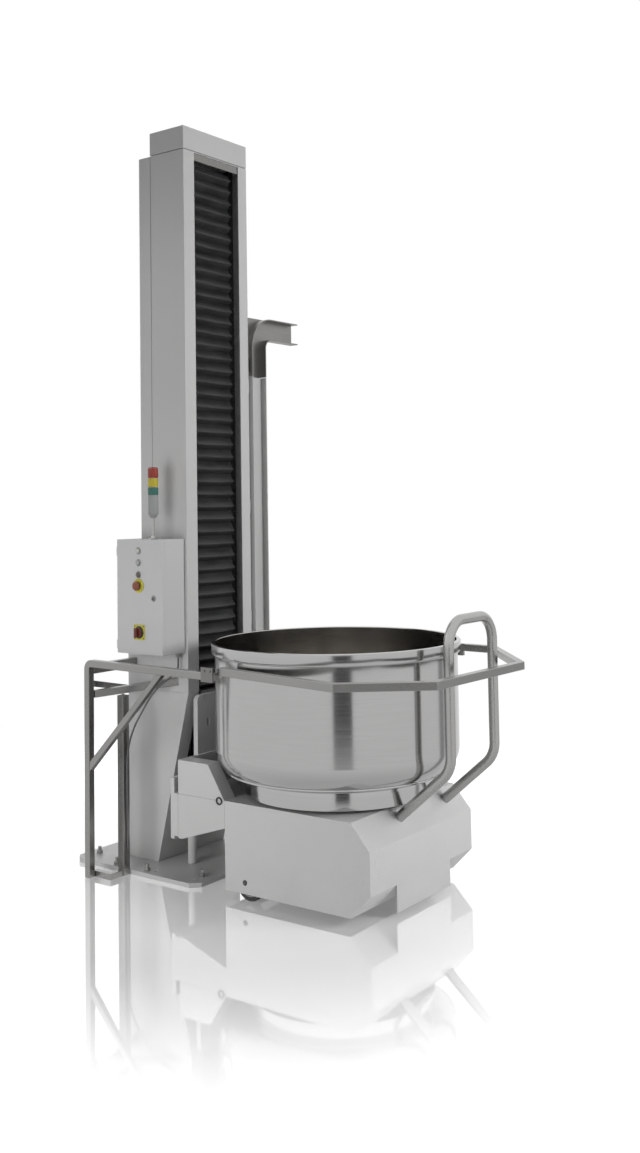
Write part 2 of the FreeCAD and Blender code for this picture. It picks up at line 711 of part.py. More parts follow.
def box_door():
    panel_rear = box_rear - d.move_gap
    half = d.hinge_lug / 2
    parts = [box("door_panel", (door_face, door_right), (box_front, panel_rear), (d.box_low, d.box_high))]
    for tag, z in (("low", hinge_low_z), ("high", hinge_high_z)):
        low = z + d.run_gap
        length = d.hinge_long / 2 - d.run_gap
        at = (hinge_x, hinge_y, low)
        knuckle = cylinder(f"door_knuckle_{tag}", d.hinge_dia / 2, length, at)
        lug = box(f"door_lug_{tag}", (hinge_x - half, hinge_x + half), (panel_rear - d.hinge_hold, hinge_y),
                  (low, low + length))
        bore = cylinder(f"door_bore_{tag}", d.hinge_dia / 4 + d.run_gap, d.hinge_long, at)
        parts.append(cut(f"door_hinge_{tag}", fuse(f"door_hinge_body_{tag}", [knuckle, lug]), bore))
    keep(fuse("box_door", parts), "box_door")


def panel_ring(name, radius, bore, high, y, z):
    outer = cylinder(f"{name}_outer", radius, high, (door_face, y, z), -X)
    inner = cylinder(f"{name}_bore", bore, high, (door_face, y, z), -X)
    return cut(name, outer, inner)


def panel_buttons():
    hole = d.button_dia / 2 + d.run_gap
    rings = []
    for tag, z in (("white", button_top_z), ("clear", button_mid_z), ("red", button_red_z)):
        rings.append(panel_ring(f"bezel_{tag}", d.bezel_dia / 2, hole, d.bezel_high, button_row, z))
        cap_start = door_face - d.move_gap - d.button_sink
        keep(cylinder(f"button_{tag}", d.button_dia / 2, d.button_high, (cap_start, button_row, z), -X),
             f"button_{tag}")
    return rings


def panel_stop():
    bore = d.stop_stem / 2 + d.run_gap
    stem_back = d.stop_travel + d.move_gap
    head_back = d.stop_collar + stem_back
    stem = cylinder("stop_stem_pin", d.stop_stem / 2, d.stop_collar,
                    (door_face - stem_back, stop_row, stop_z), -X)
    head = cylinder("stop_head_cap", d.stop_head / 2, d.stop_head_high,
                    (door_face - head_back, stop_row, stop_z), -X)
    keep(fuse("estop_button", [stem, head]), "estop_button")
    return panel_ring("stop_disc_plate", d.stop_disc / 2, bore, d.stop_collar, stop_row, stop_z)


def panel_switch():
    half = d.switch_plate / 2
    face = door_face - d.switch_plate_high
    plate = box("switch_square", (face, door_face), (switch_row - half, switch_row + half),
                (switch_z - half, switch_z + half))
    hub = cylinder("switch_hub", d.knob_dia / 2, d.switch_hub_high, (face, switch_row, switch_z), -X)
    seat = face - d.switch_hub_high - d.move_gap
    disc = cylinder("knob_body", d.knob_dia / 2, d.knob_disc, (seat, switch_row, switch_z), -X)
    grip = box("knob_grip", (seat - d.knob_high, seat - d.knob_disc),
               (switch_row - d.knob_grip / 2, switch_row + d.knob_grip / 2),
               (switch_z - d.knob_dia / 2, switch_z + d.knob_dia / 2))
    keep(fuse("main_switch_knob", [disc, grip]), "main_switch_knob")
    return [plate, hub]


def panel_lock():
    start = door_face - d.move_gap
    end = start - d.lock_high
    barrel = cylinder("lock_barrel", d.lock_dia / 2, d.lock_high, (start, lock_row, lock_z), -X)
    bit = box("lock_bit", (end - d.lock_bit, end), (lock_row - d.lock_bit / 2, lock_row + d.lock_bit / 2),
              (lock_z - d.lock_bit_long / 2, lock_z + d.lock_bit_long / 2))
    keep(fuse("door_lock", [barrel, bit]), "door_lock")
    bore = d.lock_dia / 2 + d.run_gap
    return panel_ring("bezel_lock", d.lock_ring / 2, bore, d.lock_ring_high, lock_row, lock_z)


def panel_controls():
    rings = panel_buttons()
    rings.append(panel_stop())
    rings.extend(panel_switch())
    rings.append(panel_lock())
    keep(fuse("panel_bezels", rings), "panel_bezels")


def stack_light():
    foot = cylinder("stack_foot", d.pole_foot / 2, d.pole_foot_high, (pole_x, pole_y, d.box_high))
    pole = cylinder("stack_tube", d.pole_dia / 2, pole_high - d.box_high, (pole_x, pole_y, d.box_high))
    base = cylinder("stack_base", d.lamp_dia / 2, d.lamp_base_high, (pole_x, pole_y, pole_high))
    keep(fuse("stack_pole", [foot, pole, base]), "stack_pole")
    z = pole_high + d.lamp_base_high
    for tag, high in (("green", d.lamp_green_high), ("amber", d.lamp_amber_high), ("red", d.lamp_red_high)):
        keep(cylinder(f"lamp_{tag}", d.lamp_dia / 2, high, (pole_x, pole_y, z)), f"lamp_{tag}")
        z = z + high


def guard_rail(name, post_x, splay, end):
    # One post with a rail that bends off its top and runs forward, turned out by the splay angle.
    half = d.tube / 2
    reach = end - d.post_y
    owner = body(name)
    outline = [(half, 0), (half, d.guard_top), (reach, d.guard_top), (reach, d.guard_top - d.tube),
               (-half, d.guard_top - d.tube), (-half, 0)]
    first = profile(owner, f"{name}_pad", "YZ_Plane", outline, -half, half)
    outside = round_edges(owner, first, d.guard_bend,
                          lambda e: is_along(e, X, y=half, z=d.guard_top), f"{name}_bend")
    round_edges(owner, outside, d.guard_bend - d.tube,
                lambda e: is_along(e, X, y=-half, z=d.guard_top - d.tube), f"{name}_inside")
    owner.Placement = FreeCAD.Placement(V(), FreeCAD.Rotation(Z, splay.value))
    bind(owner, "Placement.Base.x", post_x)
    bind(owner, "Placement.Base.y", d.post_y)
    keep(owner, name)
    return owner


def bar_between(name, start, end, size_across, size_high, limits):
    # A square bar along start-end, trimmed by the upright planes x = limits.
    a = V(*[size(v).value for v in start])
    b = V(*[size(v).value for v in end])
    run = b - a
    across = size(size_across).value
    high = size(size_high).value
    extra = across + high
    solid = Part.makeBox(run.Length + 2 * extra, across, high, V(-extra, -across / 2, -high / 2))
    heading = math.degrees(math.atan2(run.y, run.x))
    pitch = -math.degrees(math.atan2(run.z, math.hypot(run.x, run.y)))
    turn = FreeCAD.Rotation(Z, heading).multiply(FreeCAD.Rotation(Y, pitch))
    solid.Placement = FreeCAD.Placement(a, turn)
    low, top = [size(v).value for v in limits]
    reach = run.Length + 2 * extra
    room = Part.makeBox(top - low, 2 * reach, 2 * reach, V(low, a.y - reach, a.z - reach))
    return direct(name, solid.common(room))


def guards():
    guard_rail("guard_rail_left", d.post_left_x, -d.rail_angle_left, d.guard_left_end)
    guard_rail("guard_rail_right", d.post_right_x, d.rail_angle_right, d.guard_right_end)
    half = d.tube / 2
    left_face = d.post_left_x + half + d.weld_gap
    right_face = d.post_right_x - half - d.weld_gap
    tie_left = bar_between("tie_left", (left_face, d.post_y, d.tie_low_z),
                           (-half_column, tie_column_y, d.tie_high_z), d.tube, d.tube,
                           (left_face, -half_column))
    tie_right = bar_between("tie_right", (right_face, d.post_y, d.tie_low_z),
                            (half_column, tie_column_y, d.tie_high_z), d.tube, d.tube,
                            (half_column, right_face))
    strut = bar_between("strut_left", (left_face, d.post_y, d.strut_high_z),
                        (-half_column, d.post_y, d.strut_low_z), d.strut_size, d.strut_size,
                        (left_face, -half_column))
    rear_y = (d.post_y - half, d.post_y + half)
    rear_z = (d.rear_rail_low, d.rear_rail_high)
    rear_left = box("rear_rail_left", (left_face, -half_column), rear_y, rear_z)
    rear_right = box("rear_rail_right", (half_column, right_face), rear_y, rear_z)
    braces = [brace("left", d.post_left_x, -d.rail_angle_left),
              brace("right", d.post_right_x, d.rail_angle_right)]
    keep(fuse("guard_ties", [tie_left, tie_right, strut, rear_left, rear_right] + braces), "guard_ties")


def brace(tag, x, splay):
    # A diagonal from the post up to the underside of the rail.
    top = d.guard_top - d.tube
    half = d.tube / 2
    reach = -half - d.brace_reach
    owner = prism_x(f"brace_{tag}",
                    [(-half, d.brace_low_z), (-half, d.brace_low_z - d.brace_high), (reach, top),
                     (reach + d.brace_top, top)],
                    d.brace_thin - half, half - d.brace_thin)
    owner.Placement = FreeCAD.Placement(V(), FreeCAD.Rotation(Z, splay.value))
    bind(owner, "Placement.Base.x", x)
    bind(owner, "Placement.Base.y", d.post_y)
    return owner


def mid_post_spot():
    # The middle post stands under the left tie, at its share of the tie's run.
    share = (d.post_mid_x - d.post_left_x) / (-half_column - d.post_left_x)
    y = d.post_y + (tie_column_y - d.post_y) * share
    z = d.tie_low_z + (d.tie_high_z - d.tie_low_z) * share - d.tube / 2 - d.post_mid_under
    return y, z


def mid_post():
    half = d.post_mid_size / 2
    y, z = mid_post_spot()
    start = d.post_left_x + d.tube / 2 + d.weld_gap
    post = box("mid_post_tube", (d.post_mid_x - half, d.post_mid_x + half), (y - half, y + half), (0, z))
    stud = cylinder("mid_post_stud", d.stud_dia / 2, d.stud_high, (d.post_mid_x, y, z))
    rail = box("mid_post_foot", (start, d.post_mid_x - half),
               (y - d.foot_rail / 2, y + d.foot_rail / 2), (0, d.foot_rail))
    foot = box("post_foot", (start, start + d.foot_rail), (y + d.foot_rail / 2, d.post_y), (0, d.foot_rail))
    keep(fuse("guard_post_mid", [post, stud, rail, foot]), "guard_post_mid")


def gate_switch():
    # The safety switch on the outer face of the left rail's end.
    half = d.tube / 2
    end = d.guard_left_end - d.post_y
    low = d.guard_top - d.tube / 2 - d.safety_high / 2 + d.safety_rise
    high = low + d.safety_high
    plate = box("safety_plate", (-half - d.safety_thick, -half), (end, end + d.safety_long), (low, high))
    screws = [cylinder(f"safety_screw_{tag}", d.safety_screw / 2, d.safety_screw_high,
                       (-half - d.safety_thick, end + y, high - d.safety_screw_in), -X)
              for tag, y in (("near", d.safety_screw_in), ("far", d.safety_screw_far))]
    item = fuse("gate_switch", [plate] + screws)
    item.Placement = FreeCAD.Placement(V(), FreeCAD.Rotation(Z, -d.rail_angle_left.value))
    bind(item, "Placement.Base.x", d.post_left_x)
    bind(item, "Placement.Base.y", d.post_y)
    keep(item, "gate_switch")


def gate_corners():
    # Outer corners of the closed gate, from the left rail's end round to the hinge.
    corners = [(d.gate_start_x, d.guard_left_end - d.gate_slit), (d.gate_left_x, d.gate_left_y),
               (d.gate_front_left_x, d.gate_front_left_y), (d.gate_front_right_x, d.gate_front_right_y),
               (d.gate_right_x, d.gate_right_y),
               (d.gate_hinge_x + d.gate_end_in, gate_hinge_y - d.gate_end_drop)]
    return [V(x.value, y.value, 0) for x, y in corners]


def inset(points, width):
    # The same open outline moved inwards by the bar width.
    lines = []
    for a, b in zip(points, points[1:]):
        run = (b - a).normalize()
        side = V(-run.y, run.x, 0)
        lines.append((a + side * width, run))
    result = [lines[0][0]]
    for (p, u), (q, v) in zip(lines, lines[1:]):
        cross = u.x * v.y - u.y * v.x
        step = ((q.x - p.x) * v.y - (q.y - p.y) * v.x) / cross
        result.append(p + u * step)
    last, run = lines[-1]
    result.append(last + run * (points[-1] - points[-2]).Length)
    return result


def gate():
    width = d.tube.value
    outer = gate_corners()
    inner = inset(outer, width)
    low = d.gate_low.value
    outline = [p + Z * low for p in outer + inner[::-1]]
    ring = slab(outline, low, low + width, Z)
    item = direct("gate_ring", ring)
    x, y = d.gate_hinge_x, gate_hinge_y
    radius = d.gate_hinge_dia / 2
    eye = cylinder("gate_eye", radius, d.tube, (x, y, d.gate_low))
    half = d.gate_link / 2
    link = box("gate_link", (x - half, x + half), (y - d.gate_link_long, y),
               (d.gate_low, d.gate_low + d.tube))
    bore = cylinder("gate_bore", radius / 2 + d.run_gap, d.tube, (x, y, d.gate_low))
    keep(cut("guard_gate", fuse("gate_solid", [item, eye, link]), bore), "guard_gate")


def gate_hinge():
    # The fixed pin and foot below the gate's eye, carried by the right rail's end.
    x, y = d.gate_hinge_x, gate_hinge_y
    radius = d.gate_hinge_dia / 2
    foot = box("gate_hinge_foot", (x - radius, x + radius), (y - radius, d.guard_right_end),
               (d.gate_low - d.hinge_foot_high, d.gate_low - d.move_gap))
    pin = cylinder("gate_hinge_pin", radius / 2, d.tube + d.move_gap, (x, y, d.gate_low - d.move_gap))
    keep(fuse("gate_hinge", [foot, pin]), "gate_hinge")


def buffers():
    posts = [cylinder(f"buffer_{i}", d.buffer_dia / 2, d.carriage_low - d.plate_thick - d.move_gap,
                      (side * d.buffer_x, buffer_y, d.plate_thick))
             for i, side in enumerate((-1, 1))]
    keep(fuse("buffer_posts", posts), "buffer_posts")


def carriage():
    half = d.carriage_wide / 2
    left, right = d.carriage_x - half, d.carriage_x + half
    top = d.carriage_high
    slot_left = d.notch_x - d.notch_wide / 2
    slot_right = d.notch_x + d.notch_wide / 2
    owner = body("carriage_plate")
    plate = profile(owner, "carriage_pad", "XZ_Plane",
                    [(left, d.carriage_low), (right, d.carriage_low), (right, top), (slot_right, top),
                     (slot_right, top - d.notch_deep), (slot_left, top - d.notch_deep),
                     (slot_left, top), (left, top)],
                    -carriage_back, -carriage_face)
    corner = round_edges(owner, plate, d.carriage_corner,
                         lambda e: is_along(e, Y, z=top, x=left) or is_along(e, Y, z=top, x=right),
                         "carriage_round")
    holes = sketch(owner, "carriage_holes", "XZ_Plane", -carriage_back)
    circle(holes, d.housing_dia / 2, d.pivot_x, d.pivot_z)
    pocket(owner, holes, d.carriage_thick, "carriage_bore")
    wide = d.oblong_wide / 2
    reach = d.oblong_long / 2
    profile(owner, "carriage_oblong", "XZ_Plane",
            [(d.oblong_x - wide, d.oblong_z - reach), (d.oblong_x + wide, d.oblong_z - reach),
             (d.oblong_x + wide, d.oblong_z + reach), (d.oblong_x - wide, d.oblong_z + reach)],
            -carriage_back, -carriage_face, True)
    keep(owner, "carriage_plate")
    front = d.column_front
    lower = box("frame_lower", (d.frame_left, d.frame_right), (carriage_back, front + d.frame_deep),
                (d.frame_low, top))
    upper = box("frame_upper", (d.frame_left, d.frame_right), (front + d.frame_thin, front + d.frame_deep),
                (top, d.frame_high))
    stop = box("frame_stop", (d.slot_left + d.stop_side, d.slot_right - d.stop_side),
               (carriage_back, buffer_y + d.buffer_dia / 2),
               (d.carriage_low, d.carriage_low + d.stop_plate))
    foot = box("frame_foot", (d.frame_left, d.frame_right), (carriage_back, front + d.frame_thin),
               (top, top + d.foot_high))
    w = d.frame_wall
    inner = box("frame_inner", (d.frame_left + w, d.frame_right - w),
                (carriage_back + w, front + d.frame_deep - w), (d.frame_low, top - w))
    clamp_right = -d.sprocket_radius - d.chain_thick / 2 - d.move_gap
    clamp = box("frame_clamp", (clamp_right - d.clamp_wide, clamp_right),
                (front + d.frame_deep, front + d.chain_set + d.chain_wide), (d.clamp_low, d.clamp_high))
    shell = cut("frame_shell", fuse("frame_solid", [lower, upper, foot]), inner)
    keep(fuse("carriage_frame", [shell, clamp, stop]), "carriage_frame")


def guide_shoes():
    front = d.column_front
    near = front + d.rail_set - d.move_gap
    far = front + d.rail_set + d.rail_size + d.move_gap
    shoes = []
    for side, edge in ((-1, d.frame_left), (1, d.frame_right)):
        wall_x = side * (half_column - wall)
        rail_x = wall_x - side * (d.rail_size + d.move_gap)
        tip_x = wall_x - side * d.shoe_gap
        for tag, z in (("low", d.shoe_low_z), ("high", d.shoe_high_z)):
            points = [(edge, near - d.shoe_wrap), (tip_x, near - d.shoe_wrap), (tip_x, near), (rail_x, near),
                      (rail_x, far), (tip_x, far), (tip_x, far + d.shoe_wrap), (edge, far + d.shoe_wrap)]
            shoes.append(prism_z(f"shoe_{tag}_{'left' if side < 0 else 'right'}", points, z, z + d.shoe_high))
    keep(fuse("guide_shoes", shoes), "guide_shoes")


def pivot():
    front = d.column_front
    face = carriage_face
    flange_face = face - d.flange_thick - d.move_gap
    at = (d.pivot_x, front + d.housing_back, d.pivot_z)
    barrel = cylinder("housing_barrel", d.housing_dia / 2, front + d.housing_back - face, at, -Y)
    flange = cylinder("housing_flange", d.flange_dia / 2, d.flange_thick, (d.pivot_x, face, d.pivot_z), -Y)
    bore = cylinder("housing_bore", d.shaft_dia / 2 + d.run_gap, front + d.housing_back - flange_face, at, -Y)
    keep(cut("pivot_housing", fuse("housing_solid", [barrel, flange]), bore), "pivot_housing")
    length = front + d.housing_back - (tip_back() - d.tip_plate_thick - d.tip_space)
    keep(cylinder("pivot_shaft", d.shaft_dia / 2, length, at, -Y), "pivot_shaft")


def tip_back():
    return carriage_face - d.tip_gap


def tipping_frame():
    half = d.tip_wide / 2
    back = tip_back()
    plate_face = back - d.tip_plate_thick
    face = plate_face - d.tip_space
    peak_left, peak_right = d.pivot_x - d.peak_wide / 2, d.pivot_x + d.peak_wide / 2
    owner = body("tip_plate_body")
    profile(owner, "tip_plate_pad", "XZ_Plane",
            [(-half, d.tip_plate_low), (half, d.tip_plate_low), (half, d.tip_plate_high),
             (peak_right, d.tip_plate_high), (peak_right, d.tip_plate_peak), (peak_left, d.tip_plate_peak),
             (peak_left, d.tip_plate_high), (-half, d.tip_plate_high)],
            -back, -plate_face)
    hole = sketch(owner, "tip_plate_hole", "XZ_Plane", -back)
    circle(hole, d.shaft_dia / 2, d.pivot_x, d.pivot_z)
    pocket(owner, hole, d.tip_plate_thick, "tip_plate_bore")
    spacer_z = (d.tip_plate_low + d.spacer_lift, d.beam_high)
    left = box("tip_spacer_left", (-half, d.pivot_x - d.spacer_left), (face, plate_face), spacer_z)
    right = box("tip_spacer_right", (d.pivot_x + d.spacer_right, half), (face, plate_face), spacer_z)
    keep(fuse("tipping_plate", [owner, left, right]), "tipping_plate")
    end = trolley_back
    knee = face - d.beam_foot
    beam = prism_x("beam_box", [(face, d.beam_high), (face, d.beam_back_low), (knee, d.beam_back_low),
                                (end, d.beam_front_low), (end, d.beam_high)], -half, half)
    w = d.beam_wall
    profile(beam, "beam_hollow", "YZ_Plane",
            [(face - w, d.beam_high - w), (face - w, d.beam_back_low + w), (knee, d.beam_back_low + w),
             (end + w, d.beam_front_low + w), (end + w, d.beam_high - w)], w - half, half - w, True)
    arm = [(face, d.arm_high), (face - d.arm_flat, d.arm_high), (end, d.beam_high), (face, d.beam_high)]
    keep(prism_x("tipping_arm_left", arm, -half, d.arm_wide - half), "tipping_arm_left")
    keep(prism_x("tipping_arm_right", arm, half - d.arm_wide, half), "tipping_arm_right")
    web = box("web_plate", (d.arm_wide - half, half - d.arm_wide), (face - d.web_thick, face),
              (d.beam_high, d.arm_high))
    eye = torus("hook_ring", d.ring_dia / 2, d.ring_wire / 2,
                (-half - d.ring_wire / 2 - d.run_gap, end + d.ring_dia, d.beam_high), X)
    keep(fuse("tipping_beam", [beam, web]), "tipping_beam")
    keep(eye, "hook_ring")
    lever(plate_face, face)


def lever(rear, face):
    # Plate from the pivot boss to the follower pin.
    half = d.lever_wide / 2
    dx = (d.lever_x - d.pivot_x).value
    dz = (d.lever_z - d.pivot_z).value
    angle = math.degrees(math.atan2(dz, dx))
    thick = (rear - face).value
    y = face.value
    a = V(d.pivot_x.value, y, d.pivot_z.value)
    run = math.hypot(dx, dz)
    bar = Part.makeBox(run, thick, half.value * 2, V(0, 0, -half.value))
    bar.Placement = FreeCAD.Placement(a, FreeCAD.Rotation(Y, -angle))
    boss = Part.makeCylinder(d.boss_dia.value / 2, thick, a, Y)
    head = Part.makeCylinder(half.value, thick, V(d.lever_x.value, y, d.lever_z.value), Y)
    bore = Part.makeCylinder(d.shaft_dia.value / 2, thick, a, Y)
    plate = direct("lever_plate", bar.fuse([boss, head]).removeSplitter().cut(bore))
    foot = (d.lever_x, rear, d.lever_z)
    start = (d.lever_x, rear + d.roller_gap, d.lever_z)
    pin = cylinder("lever_pin", d.roller_pin / 2, d.roller_gap + d.roller_wide + d.pin_end, foot, Y)
    collar = cylinder("lever_collar", d.roller_collar / 2, d.roller_gap - d.move_gap, foot, Y)
    keep(fuse("roller_lever", [plate, pin, collar]), "roller_lever")
    outer = cylinder("roller_outer", d.roller_dia / 2, d.roller_wide, start, Y)
    inner = cylinder("roller_bore", d.roller_pin / 2 + d.run_gap, d.roller_wide, start, Y)
    keep(cut("follower_roller", outer, inner), "follower_roller")


def trolley():
    half = d.trolley_wide / 2
    w = d.trolley_wall
    back, front, nose = trolley_back, trolley_front, trolley_nose
    foot = front + d.nose_foot
    owner = prism_x("trolley_shell",
                    [(back, d.skirt_z), (back, d.deck_z), (front, d.deck_z), (nose, d.nose_top_z),
                     (nose, d.nose_low_z), (foot, d.skirt_z)], -half, half)
    slant = w * 1.5
    drop = w * 0.4
    profile(owner, "trolley_hollow", "YZ_Plane",
            [(back - w, d.skirt_z), (back - w, d.deck_z - w), (front + w * 0.5, d.deck_z - w),
             (nose + w, d.nose_top_z - drop), (nose + w, d.nose_low_z + drop), (foot + slant, d.skirt_z)],
            w - half, half - w, True)
    apron = box("trolley_apron", (-d.apron_wide / 2, d.apron_wide / 2), (nose, nose + d.apron_thick),
                (d.apron_low, d.nose_low_z))
    keep(fuse("trolley_housing", [owner, apron]), "trolley_housing")
    chassis(half, w)
    high = d.bearing_high - d.move_gap
    outer = cylinder("bearing_outer_disc", d.bearing_outer, high, (0, bowl_y, d.deck_z))
    inner = cylinder("bearing_hole", d.bearing_inner, high, (0, bowl_y, d.deck_z))
    keep(cut("bearing_ring", outer, inner), "bearing_ring")


def chassis(half, w):
    y = wheel_y
    deep = d.axle_beam_deep / 2
    high = d.axle_beam_high / 2
    axle_z = d.wheel_dia / 2
    inner = d.wheel_x - d.wheel_wide / 2 - d.wheel_side_gap
    under = d.deck_z - w
    far = inner - d.hanger_in
    near = far - d.hanger_thick
    stub = d.wheel_wide + d.wheel_side_gap + d.run_gap
    parts = [box("axle_beam", (-inner, inner), (y - deep, y + deep), (axle_z - high, axle_z + high)),
             box("axle_hanger_left", (-far, -near), (y - deep, y + deep), (axle_z + high, under)),
             box("axle_hanger_right", (near, far), (y - deep, y + deep), (axle_z + high, under)),
             cylinder("axle_stub_left", d.wheel_axle / 2, stub, (-inner, y, axle_z), -X),
             cylinder("axle_stub_right", d.wheel_axle / 2, stub, (inner, y, axle_z), X)]
    parts.extend(castor_seat(under))
    keep(fuse("trolley_chassis", parts), "trolley_chassis")


def castor_seat(under):
    # Plate that holds the castor's stem, hung from the deck on two webs.
    low = d.fork_plate_z + d.fork_plate + d.move_gap
    high = low + d.castor_seat_thick
    wide = d.castor_seat_wide / 2
    deep = (castor_y - d.castor_seat_deep / 2, castor_y + d.castor_seat_deep / 2)
    seat = box("castor_seat", (-wide, wide), deep, (low, high))
    hole = cylinder("castor_hole", d.stem_dia / 2 + d.run_gap, d.castor_seat_thick, (0, castor_y, low))
    return [cut("castor_seat_plate", seat, hole),
            box("castor_hanger_left", (-wide, d.hanger_thick - wide), deep, (high, under)),
            box("castor_hanger_right", (wide - d.hanger_thick, wide), deep, (high, under))]


def wheel(name, low_x, y, z, radius, wide, bore):
    # Tyre with a dished hub disc, bored for its axle.
    dish_radius = radius * 0.7
    tyre = cylinder(f"{name}_tyre", radius, wide, (low_x, y, z), X)
    face = cylinder(f"{name}_face", dish_radius, d.wheel_dish, (low_x, y, z), X)
    back = cylinder(f"{name}_back", dish_radius, d.wheel_dish, (low_x + wide - d.wheel_dish, y, z), X)
    hub = cylinder(f"{name}_hub", bore + d.hub_wall, wide, (low_x, y, z), X)
    hole = cylinder(f"{name}_bore", bore, wide, (low_x, y, z), X)
    shape = cut(f"{name}_dished", tyre, fuse(f"{name}_dish", [face, back]))
    keep(cut(name, fuse(f"{name}_solid", [shape, hub]), hole), name)


def running_gear():
    radius = d.wheel_dia / 2
    bore = d.wheel_axle / 2 + d.run_gap
    near = d.wheel_x - d.wheel_wide / 2
    wheel("wheel_left", -near - d.wheel_wide, wheel_y, radius, radius, d.wheel_wide, bore)
    wheel("wheel_right", near, wheel_y, radius, radius, d.wheel_wide, bore)
    castor()


def castor():
    y = castor_y + d.castor_trail
    z = d.castor_dia / 2
    pin = d.castor_pin / 2
    half = d.castor_wide / 2 + d.fork_gap
    top = d.fork_plate_z
    w = d.fork_wall
    eye = d.fork_eye
    wheel("castor_wheel", -d.castor_wide / 2, y, z, z, d.castor_wide, pin + d.run_gap)
    plate = box("fork_top", (-half - w, half + w), (castor_y - d.fork_back, y + d.fork_front),
                (top, top + d.fork_plate))
    outline = [(castor_y - d.fork_back, top), (y + d.fork_front, top), (y + eye, z),
               (y, z - eye), (y - eye, z)]
    cheeks = [prism_x("fork_left", outline, -half - w, -half),
              prism_x("fork_right", outline, half, half + w)]
    axle = cylinder("fork_axle", pin, 2 * half + 2 * w, (-half - w, y, z), X)
    stem = cylinder("fork_stem", d.stem_dia / 2, d.fork_plate + d.move_gap + d.stem_over, (0, castor_y, top))
    keep(fuse("castor_fork", [plate, axle, stem] + cheeks), "castor_fork")


def push_handle():
    # One bent tube: two slanted struts standing square on the nose, two legs and the top bow.
    slope = V(0, (trolley_nose - trolley_front).value, (d.nose_top_z - d.deck_z).value).normalize()
    out = V(0, slope.z, -slope.y)
    seat = V(0, trolley_front.value, d.deck_z.value) + slope * d.handle_seat.value
    reach = (handle_plane.value - seat.y) / out.y
    knee = seat + out * reach
    top = (d.handle_top - d.handle_dia / 2).value
    xs = [(d.handle_x + side * d.handle_spacing / 2).value for side in (-1, 1)]
    crown = V(0, knee.y, top)
    legs = [(xs[0], seat), (xs[0], knee), (xs[0], crown), (xs[1], crown), (xs[1], knee), (xs[1], seat)]
    points = [V(x, p.y, p.z) for x, p in legs]
    low = d.handle_low_bend.value
    bow = d.handle_bend.value
    path = tube_path(points, [low, bow, bow, low])
    radius = d.handle_dia.value / 2
    shape = round_tube(path, radius).cut(round_tube(path, radius - d.handle_wall.value))
    keep(direct("push_handle", shape), "push_handle")


def is_ring(edge, radius, z):
    if not hasattr(edge.Curve, "Radius"):
        return False
    return abs(edge.Curve.Radius - radius.value) < 0.01 and abs(edge.CenterOfMass.z - z.value) < 0.01


def bowl():
    w = d.bowl_wall
    r, band = d.bowl_radius, d.band_radius
    owner = body("bowl_body")
    drawn = sketch(owner, "bowl_outline", "XZ_Plane", 0)
    polygon(drawn, [(0, d.bowl_low), (r, d.bowl_low), (r, d.band_low), (band, d.band_low),
                    (band, d.bowl_high), (r - w, d.bowl_high), (r - w, d.bowl_low + w), (0, d.bowl_low + w)])
    turned = owner.newObject("PartDesign::Revolution", "bowl_turned")
    turned.Profile = drawn
    turned.ReferenceAxis = (drawn, ["V_Axis"])
    turned.Angle = 360
    doc.recompute()
    outside = round_edges(owner, turned, d.bowl_corner,
                          lambda e: is_ring(e, r, d.bowl_low), "bowl_corner_outside")
    round_edges(owner, outside, d.bowl_corner - w,
                lambda e: is_ring(e, r - w, d.bowl_low + w), "bowl_corner_inside")
    place(owner, y=bowl_y)
    bead_ring = r - d.bowl_corner * 0.4
    bead = torus("bowl_bead", bead_ring, d.bead_radius, (0, bowl_y, d.bowl_low + d.bowl_corner * 0.2))
    lip = torus("bowl_lip", r, d.bead_radius, (0, bowl_y, d.band_low - d.lip_drop))
    hollow = cylinder("bowl_inside", r - w / 2, d.bowl_high - d.bowl_low, (0, bowl_y, d.bowl_low))
    keep(fuse("bowl", [owner, bead, cut("bowl_lip_outside", lip, hollow)]), "bowl")
    sr = d.bowl_skirt_radius
    low = bearing_top
    w = d.bowl_skirt_wall
    outer = cylinder("skirt_outer", sr, d.bowl_low - low, (0, bowl_y, low))
    inner = cylinder("skirt_inner", sr - w, d.bowl_low - low - w, (0, bowl_y, low + w))
    hole = cylinder("skirt_hole", sr - d.skirt_flange, w, (0, bowl_y, low))
    keep(cut("bowl_skirt", outer, fuse("skirt_void", [inner, hole])), "bowl_skirt")


def switch_cable():
    # Pulled straight from the gland to the middle post and down along it.
    radius = d.cable_dia / 2
    post_y, _ = mid_post_spot()
    face = post_y - d.post_mid_size / 2 - radius
    start_z = d.box_low - d.gland_high
    route = [(gland_x, gland_y, start_z), (gland_x, gland_y, start_z - d.cable_drop),
             (d.cable_turn_x, d.column_front + d.cable_turn_set, d.cable_turn_z),
             (d.post_mid_x, face, d.cable_post_z), (d.post_mid_x, face, d.cable_end_z)]
    points = [V(x.value, y.value, z.value) for x, y, z in route]
    radii = []
    for a, b, c in zip(points, points[1:], points[2:]):
        turn = (b - a).getAngle(c - b)
        shorter = min((b - a).Length, (c - b).Length)
        radii.append(min(0.45 * shorter / math.tan(turn / 2), d.cable_bend_most.value))
    print("cable radii", [round(r, 1) for r in radii])
    path = tube_path(points, radii)
    shape = round_tube(path, radius.value)
    print("cable volume ratio", round(shape.Volume / (math.pi * radius.value ** 2 * path.Length), 4))
    keep(direct("switch_cable", shape), "switch_cable")


